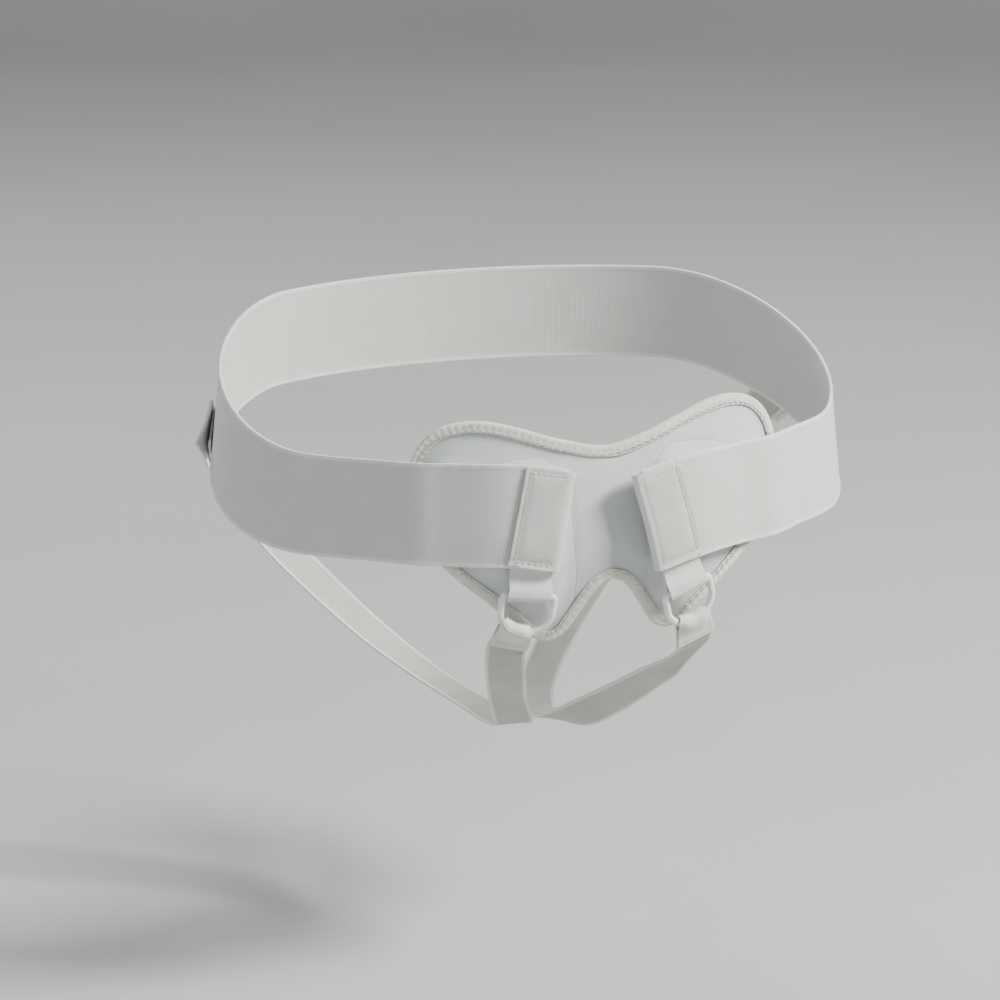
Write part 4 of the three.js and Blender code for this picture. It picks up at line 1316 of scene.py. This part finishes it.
woven.links.new(other_set, picked.inputs["B"])
woven.links.new(picked.outputs["Result"], woven_out.inputs["Height"])
print("node groups:", [group.name for group in bpy.data.node_groups])

# %% [markdown]
# ## Materials
# All the cloth is white or nearly so, but no two pieces are the same white: the panel is cool,
# the tape is creamy, the elastic is a warmer grey between its light edges, and the plastic is
# clean. The straps are darker than the band, partly their own grey and partly painted shade.
# One white material for all would be quicker, and would look like plaster. So each material
# mixes two close colours by the uneven mask and gets its own surface. Cloth is rough and has a
# little sheen, which is the light that its loose fibres catch.

# %% A cloth material's shader
SHEEN_ROUGHNESS, CLOTH_GLOSS = 0.5, 0.3
print("materials that came with the solid model:", len(bpy.data.materials))


def cloth_material(name, roughness, sheen):
    material = bpy.data.materials.new(name)
    material.use_nodes = True
    tree = material.node_tree
    shader = tree.nodes["Principled BSDF"]
    shader.inputs["Roughness"].default_value = roughness
    shader.inputs["Sheen Weight"].default_value = sheen
    shader.inputs["Sheen Roughness"].default_value = SHEEN_ROUGHNESS
    shader.inputs["Specular IOR Level"].default_value = CLOTH_GLOSS
    return material, tree, shader


def where(tree):
    place = tree.nodes.new("ShaderNodeTexCoord")
    return place.outputs["Object"], place.outputs["UV"]


def put_on(material, *pieces):
    for piece in pieces:
        piece.data.materials.clear()
        piece.data.materials.append(material)
    print(material.name, "on", [piece.name for piece in pieces])


# %% Mixing two colours by a mask
# A Mix node has sockets for every kind of value. For colours they are these.
MIX_FIRST, MIX_SECOND, MIXED = 6, 7, 2
print("colours go into sockets", MIX_FIRST, "and", MIX_SECOND, "of a Mix node")


def blended(tree, factor, dark, light):
    mixer = tree.nodes.new("ShaderNodeMix")
    mixer.data_type = "RGBA"
    tree.links.new(factor, mixer.inputs[0])
    for slot, value in ((MIX_FIRST, dark), (MIX_SECOND, light)):
        if isinstance(value, tuple):
            mixer.inputs[slot].default_value = (*value, 1)
        else:
            tree.links.new(value, mixer.inputs[slot])
    return mixer.outputs[MIXED]


def shaded(colour, share):
    return tuple(share * value for value in colour)


def group_node(tree, group, **values):
    made = tree.nodes.new("ShaderNodeGroup")
    made.node_tree = group
    for label, value in values.items():
        socket = made.inputs[label.replace("_", " ")]
        if isinstance(value, bpy.types.NodeSocket):
            tree.links.new(value, socket)
        else:
            socket.default_value = value
    return made


def two_whites(tree, shader, blotches, dark, light):
    place, cloth = where(tree)
    mask = group_node(tree, uneven, Place=place, Size=blotches).outputs["Mask"]
    tree.links.new(blended(tree, mask, dark, light), shader.inputs["Base Color"])
    return place, mask


# %% Relief that is too fine for the mesh: fibres and soft wrinkles
FUZZ_SCALE, FUZZ_DEPTH, FUZZ_STRENGTH = 900.0, 0.08 * MM, 0.5
WRINKLE_SCALE, WRINKLE_DEPTH, WRINKLE_STRENGTH = 70.0, 0.5 * MM, 0.35
print("depth of the fibres and of the wrinkles, mm:", FUZZ_DEPTH / MM, WRINKLE_DEPTH / MM)


def bumped(tree, shader, height, distance, strength=1.0, under=None):
    bump = tree.nodes.new("ShaderNodeBump")
    bump.inputs["Strength"].default_value = strength
    bump.inputs["Distance"].default_value = distance
    tree.links.new(height, bump.inputs["Height"])
    if under:
        tree.links.new(under, bump.inputs["Normal"])
    tree.links.new(bump.outputs["Normal"], shader.inputs["Normal"])
    return bump.outputs["Normal"]


# %% [markdown]
# Elastic is ribbed between two light woven edges, where no rubber runs. The edges could be narrow
# meshes with a material of their own. Finding them from the UV map is simpler, and they follow
# the cloth wherever the strap turns. The straps' turned ends round the rings are painted paler:
# a painted highlight where the rounded fold catches the light.

# %% The elastic of the band and of the straps
ELASTIC_ROUGHNESS, ELASTIC_SHEEN, ELASTIC_BLOTCHES = 0.92, 0.25, 45.0
EDGE_OUTER, EDGE_INNER = 1.35, 0.75
VALLEY_MIX, VALLEY_SHADE = 0.28, 0.62
PAINTED_LIGHT_FADE = 1.6


def elastic_material(name, width, selvage, dark, light, edge_colour, rib_pitch, depth,
                     painted_light_end=0.0):
    material, tree, shader = cloth_material(name, ELASTIC_ROUGHNESS, ELASTIC_SHEEN)
    place, cloth = where(tree)
    knit = group_node(tree, ribbed, Cloth=cloth, Place=place, Rib_pitch=rib_pitch)
    mask = group_node(tree, uneven, Place=place, Size=ELASTIC_BLOTCHES)
    apart = node(tree, "ShaderNodeSeparateXYZ", cloth)
    off_middle = calculate(tree, "ABSOLUTE", calculate(
        tree, "SUBTRACT", apart.outputs["Y"], width / 2))
    edge = node(tree, "ShaderNodeMapRange", off_middle, From_Min=width / 2 - EDGE_OUTER * selvage,
                From_Max=width / 2 - EDGE_INNER * selvage)
    body = blended(tree, mask.outputs["Mask"], dark, light)
    shade = calculate(tree, "MULTIPLY", knit.outputs["Valley"], VALLEY_MIX)
    body = blended(tree, shade, body, shaded(dark, VALLEY_SHADE))
    # Painted highlight: the turned end takes the light edge colour, fading back to the body past
    # it.
    if painted_light_end:
        past_painted_light = node(tree, "ShaderNodeMapRange", apart.outputs["X"], From_Min=painted_light_end,
                        From_Max=PAINTED_LIGHT_FADE * painted_light_end)
        body = blended(tree, past_painted_light.outputs["Result"], edge_colour, body)
    tree.links.new(blended(tree, edge.outputs["Result"], body, edge_colour),
                   shader.inputs["Base Color"])
    bumped(tree, shader, knit.outputs["Height"], depth)
    return material


band_look = elastic_material(
    "band elastic", width=BAND_WIDTH, selvage=SELVAGE, dark=(0.565, 0.545, 0.515),
    light=(0.60, 0.58, 0.55), edge_colour=(0.67, 0.665, 0.635), rib_pitch=0.95 * MM,
    depth=0.09 * MM)
# Painted shade: the straps are darker than the band, their own grey plus the shade that the legs,
# which are not in the scene, would cast on them.
strap_look_painted_shade_and_light = elastic_material(
    "strap elastic with painted shade and light", width=STRAP_WIDTH, selvage=1.6 * MM, dark=(0.41, 0.395, 0.37),
    light=(0.49, 0.47, 0.44), edge_colour=(0.64, 0.63, 0.59), rib_pitch=1.1 * MM,
    depth=0.16 * MM, painted_light_end=14 * MM)
put_on(band_look, band)
put_on(strap_look_painted_shade_and_light, *straps.values())

# %% [markdown]
# The panel, the tape, the tabs and the webbing are woven. Their relief has three sizes: soft
# wrinkles, the weave, and the fuzz of single fibres. Each Bump node takes the one before it as
# its Normal, so the three add up. The end tabs are lighter along their sewn margins.

# %% The woven fabrics
GAP_MIX, GAP_SHADE = 0.28, 0.66
MARGIN_COLOUR = (0.74, 0.74, 0.70)


def fabric_material(name, pitch, depth, dark, light, roughness, sheen, blotches, margin=None):
    material, tree, shader = cloth_material(name, roughness, sheen)
    place, cloth = where(tree)
    weave = group_node(tree, woven, Cloth=cloth, Pitch=pitch)
    mask = group_node(tree, uneven, Place=place, Size=blotches)
    base = blended(tree, mask.outputs["Mask"], dark, light)
    if margin:
        base = blended(tree, margin(tree, cloth), base, MARGIN_COLOUR)
    gap = calculate(tree, "MULTIPLY", calculate(
        tree, "SUBTRACT", 1.0, weave.outputs["Height"]), GAP_MIX)
    tree.links.new(blended(tree, gap, base, shaded(dark, GAP_SHADE)), shader.inputs["Base Color"])
    fuzz = node(tree, "ShaderNodeTexNoise", place, Scale=FUZZ_SCALE, Detail=4.0)
    wrinkle = node(tree, "ShaderNodeTexNoise", place, Scale=WRINKLE_SCALE, Detail=3.0)
    soft = bumped(tree, shader, wrinkle.outputs["Fac"], WRINKLE_DEPTH, WRINKLE_STRENGTH)
    fine = bumped(tree, shader, weave.outputs["Height"], depth, under=soft)
    bumped(tree, shader, fuzz.outputs["Fac"], FUZZ_DEPTH, FUZZ_STRENGTH, fine)
    return material


panel_look = fabric_material(
    "panel fabric", pitch=0.45 * MM, depth=0.05 * MM, dark=(0.575, 0.612, 0.60),
    light=(0.625, 0.662, 0.648), roughness=0.78, sheen=0.2, blotches=25.0)
tape_look = fabric_material(
    "edge tape", pitch=0.62 * MM, depth=0.14 * MM, dark=(0.68, 0.68, 0.60),
    light=(0.78, 0.78, 0.69), roughness=0.88, sheen=0.3, blotches=90.0)
put_on(panel_look, panel)
put_on(tape_look, tape)

# %% The tabs with their lighter margins, and the webbing
FOLD_REACH, END_MARGIN = 7.5 * MM, 3 * MM
MARGIN_SOFTNESS, MARGIN_STRENGTH = 0.5 * MM, 0.7


def tab_margin(tree, cloth):
    apart = node(tree, "ShaderNodeSeparateXYZ", cloth)
    masks = []
    for axis, size, reach, side in (("X", TAB_CLOTH, FOLD_REACH, -1),
                                    ("Y", TAB_HEIGHT, TAB_HEIGHT / 2 - END_MARGIN, 1)):
        gap = calculate(tree, "ABSOLUTE", calculate(
            tree, "SUBTRACT", apart.outputs[axis], size / 2))
        past = calculate(tree, "DIVIDE", calculate(tree, "SUBTRACT", gap, reach),
                         MARGIN_SOFTNESS * side)
        masks.append(calculate(tree, "MINIMUM", calculate(tree, "MAXIMUM", past, 0.0), 1.0))
    return calculate(tree, "MULTIPLY", calculate(tree, "MAXIMUM", masks[0], masks[1]),
                     MARGIN_STRENGTH)


tab_look = fabric_material(
    "end tab fabric", pitch=0.5 * MM, depth=0.09 * MM, dark=(0.55, 0.54, 0.51),
    light=(0.61, 0.60, 0.56), roughness=0.85, sheen=0.2, blotches=70.0, margin=tab_margin)
# Painted light: the hip tabs get a lighter copy of the tab fabric, to lift them out of their shade.
hip_tab_painted_light_look = fabric_material(
    "hip tab fabric, painted lighter", pitch=0.5 * MM, depth=0.09 * MM, dark=(0.72, 0.72, 0.69),
    light=(0.78, 0.78, 0.75), roughness=0.85, sheen=0.2, blotches=70.0)
webbing_look = fabric_material(
    "webbing tape", pitch=0.55 * MM, depth=0.08 * MM, dark=(0.64, 0.65, 0.61),
    light=(0.70, 0.71, 0.67), roughness=0.86, sheen=0.2, blotches=80.0)
put_on(tab_look, *tabs.values())
put_on(hip_tab_painted_light_look, *hip_tabs.values())
put_on(webbing_look, *webbing_loops.values())

# %% The thread, and the shade in the needle holes
THREAD_TWIST_SCALE, THREAD_TWIST_DEPTH = 1400.0, 0.05 * MM
thread_look, tree, shader = cloth_material("thread", roughness=0.7, sheen=0.3)
place, mask = two_whites(tree, shader, 400.0, (0.60, 0.59, 0.52), (0.74, 0.73, 0.66))
twist = node(tree, "ShaderNodeTexWave", place, Scale=THREAD_TWIST_SCALE, Distortion=1.0)
bumped(tree, shader, twist.outputs["Fac"], THREAD_TWIST_DEPTH)
put_on(thread_look, *seams)

hole_look, tree, shader = cloth_material("needle hole shade", roughness=0.95, sheen=0.0)
two_whites(tree, shader, 300.0, (0.25, 0.25, 0.21), (0.40, 0.40, 0.35))
put_on(hole_look, holes)

# %% [markdown]
# The rings are moulded plastic, smooth but not mirror-like, and a little light enters them.
# Subsurface scattering gives that soft depth. A faint flow in the surface breaks up the shine.

# %% The plastic of the rings
LIGHT_DEPTH = (0.002, 0.002, 0.0018)
FLOW_SCALE, FLOW_DEPTH, FLOW_STRENGTH = 260.0, 0.12 * MM, 0.4
plastic_look = bpy.data.materials.new("ring plastic")
plastic_look.use_nodes = True
tree = plastic_look.node_tree
shader = tree.nodes["Principled BSDF"]
shader.inputs["Subsurface Weight"].default_value = 0.15
shader.inputs["Subsurface Radius"].default_value = LIGHT_DEPTH
place, mask = two_whites(tree, shader, 120.0, (0.70, 0.71, 0.67), (0.76, 0.77, 0.73))
polish = node(tree, "ShaderNodeMapRange", mask, To_Min=0.32, To_Max=0.46)
tree.links.new(polish.outputs["Result"], shader.inputs["Roughness"])
flow = node(tree, "ShaderNodeTexNoise", place, Scale=FLOW_SCALE, Detail=2.0)
bumped(tree, shader, flow.outputs["Fac"], FLOW_DEPTH, FLOW_STRENGTH)
put_on(plastic_look, *rings.values())
print("materials:", [material.name for material in bpy.data.materials])

# %% [markdown]
# ## Floor, light and camera
# The belt hangs in its worn shape over a plain pale floor. A flat floor would end in a hard
# horizon, so the grid is bent up into a wall on all sides. One large soft light comes from the
# upper right of the picture, a weaker one fills from the left, and the pale surroundings lift
# the shadows. The camera stands where the photographer did: above the belt, and round towards
# the wearer's right hip.

# %% The floor, bent up at its sides
FLOOR_DROP, FLOOR_REACH, FLOOR_BEND, WALL_RISE = 0.26, 3.3, 1.3, 2.2
FLOOR_GRID = 96
deselect_all()
bpy.ops.mesh.primitive_grid_add(x_subdivisions=FLOOR_GRID, y_subdivisions=FLOOR_GRID, size=2)
floor = bpy.context.object
floor.name = "floor"
flat = vertex_places(floor)[:, :2]
out_share = np.maximum(np.abs(flat[:, 0]), np.abs(flat[:, 1]))
heading = flat / np.maximum(np.linalg.norm(flat, axis=1, keepdims=True), TINY)
run = out_share * (FLOOR_REACH + FLOOR_BEND * math.pi / 2 + WALL_RISE)
turn = np.clip((run - FLOOR_REACH) / FLOOR_BEND, 0, math.pi / 2)
reach = np.minimum(run, FLOOR_REACH) + FLOOR_BEND * np.sin(turn)
rise = FLOOR_BEND * (1 - np.cos(turn))
rise += np.maximum(0, run - FLOOR_REACH - FLOOR_BEND * math.pi / 2)
move_vertices(floor, np.column_stack([heading * reach[:, None], rise - FLOOR_DROP]))
edit(floor, face_outwards)
choose(floor)
bpy.ops.object.shade_smooth()
print("the floor reaches, m:", round(float(reach.max()), 1), "and rises:", round(rise.max(), 1))

# %% The floor's look, and the pale room around it
ROOM_COLOUR, ROOM_BRIGHTNESS = (0.86, 0.89, 0.92, 1), 0.32
floor_look = bpy.data.materials.new("pale floor")
floor_look.use_nodes = True
tree = floor_look.node_tree
shader = tree.nodes["Principled BSDF"]
shader.inputs["Roughness"].default_value = 0.9
two_whites(tree, shader, 1.5, (0.40, 0.40, 0.395), (0.43, 0.43, 0.425))
put_on(floor_look, floor)

world = bpy.data.worlds.new("pale room")
bpy.context.scene.world = world
world.use_nodes = True
world.node_tree.nodes["Background"].inputs["Color"].default_value = ROOM_COLOUR
world.node_tree.nodes["Background"].inputs["Strength"].default_value = ROOM_BRIGHTNESS


# %% The lights
def add_light(name, place, target, size, power, colour):
    deselect_all()
    bpy.ops.object.light_add(type="AREA", location=place)
    light = bpy.context.object
    light.name = name
    light.data.size = size
    light.data.energy = power
    light.data.color = colour
    look = Vector(target) - Vector(place)
    light.rotation_euler = look.to_track_quat("-Z", "Y").to_euler()
    print(name, "light, m away:", round(look.length, 1))


add_light("key", place=(1.7, -1.1, 1.6), target=(0, 0, -0.05), size=0.7, power=190,
          colour=(1.0, 0.985, 0.96))
add_light("fill", place=(-2.3, -1.0, 0.6), target=(-0.1, 0, -0.05), size=1.6, power=26,
          colour=(0.80, 0.88, 1.0))
add_light("back", place=(-0.6, 1.9, 1.6), target=(0, 0, 0), size=1.2, power=30,
          colour=(1.0, 1.0, 1.0))

# %% The camera
CAMERA_TURN, CAMERA_RISE = math.radians(-19.65), math.radians(13.4)
CAMERA_DISTANCE, CAMERA_SIGHT = 2.5, 50
AIM_RIGHT, AIM_UP = -13.7 * MM, -30.7 * MM
LENS, SENSOR = 175.9, 36
backward = Vector((math.sin(CAMERA_TURN) * math.cos(CAMERA_RISE),
                   -math.cos(CAMERA_TURN) * math.cos(CAMERA_RISE), math.sin(CAMERA_RISE)))
rightward = Vector((math.cos(CAMERA_TURN), math.sin(CAMERA_TURN), 0))
eye = rightward * AIM_RIGHT + backward.cross(rightward) * AIM_UP + backward * CAMERA_DISTANCE
deselect_all()
bpy.ops.object.camera_add(location=eye)
camera = bpy.context.object
camera.rotation_euler = (-backward).to_track_quat("-Z", "Y").to_euler()
camera.data.lens = LENS
camera.data.sensor_width = SENSOR
camera.data.clip_end = CAMERA_SIGHT
bpy.context.scene.camera = camera
print("camera stands at", [round(value, 3) for value in eye])
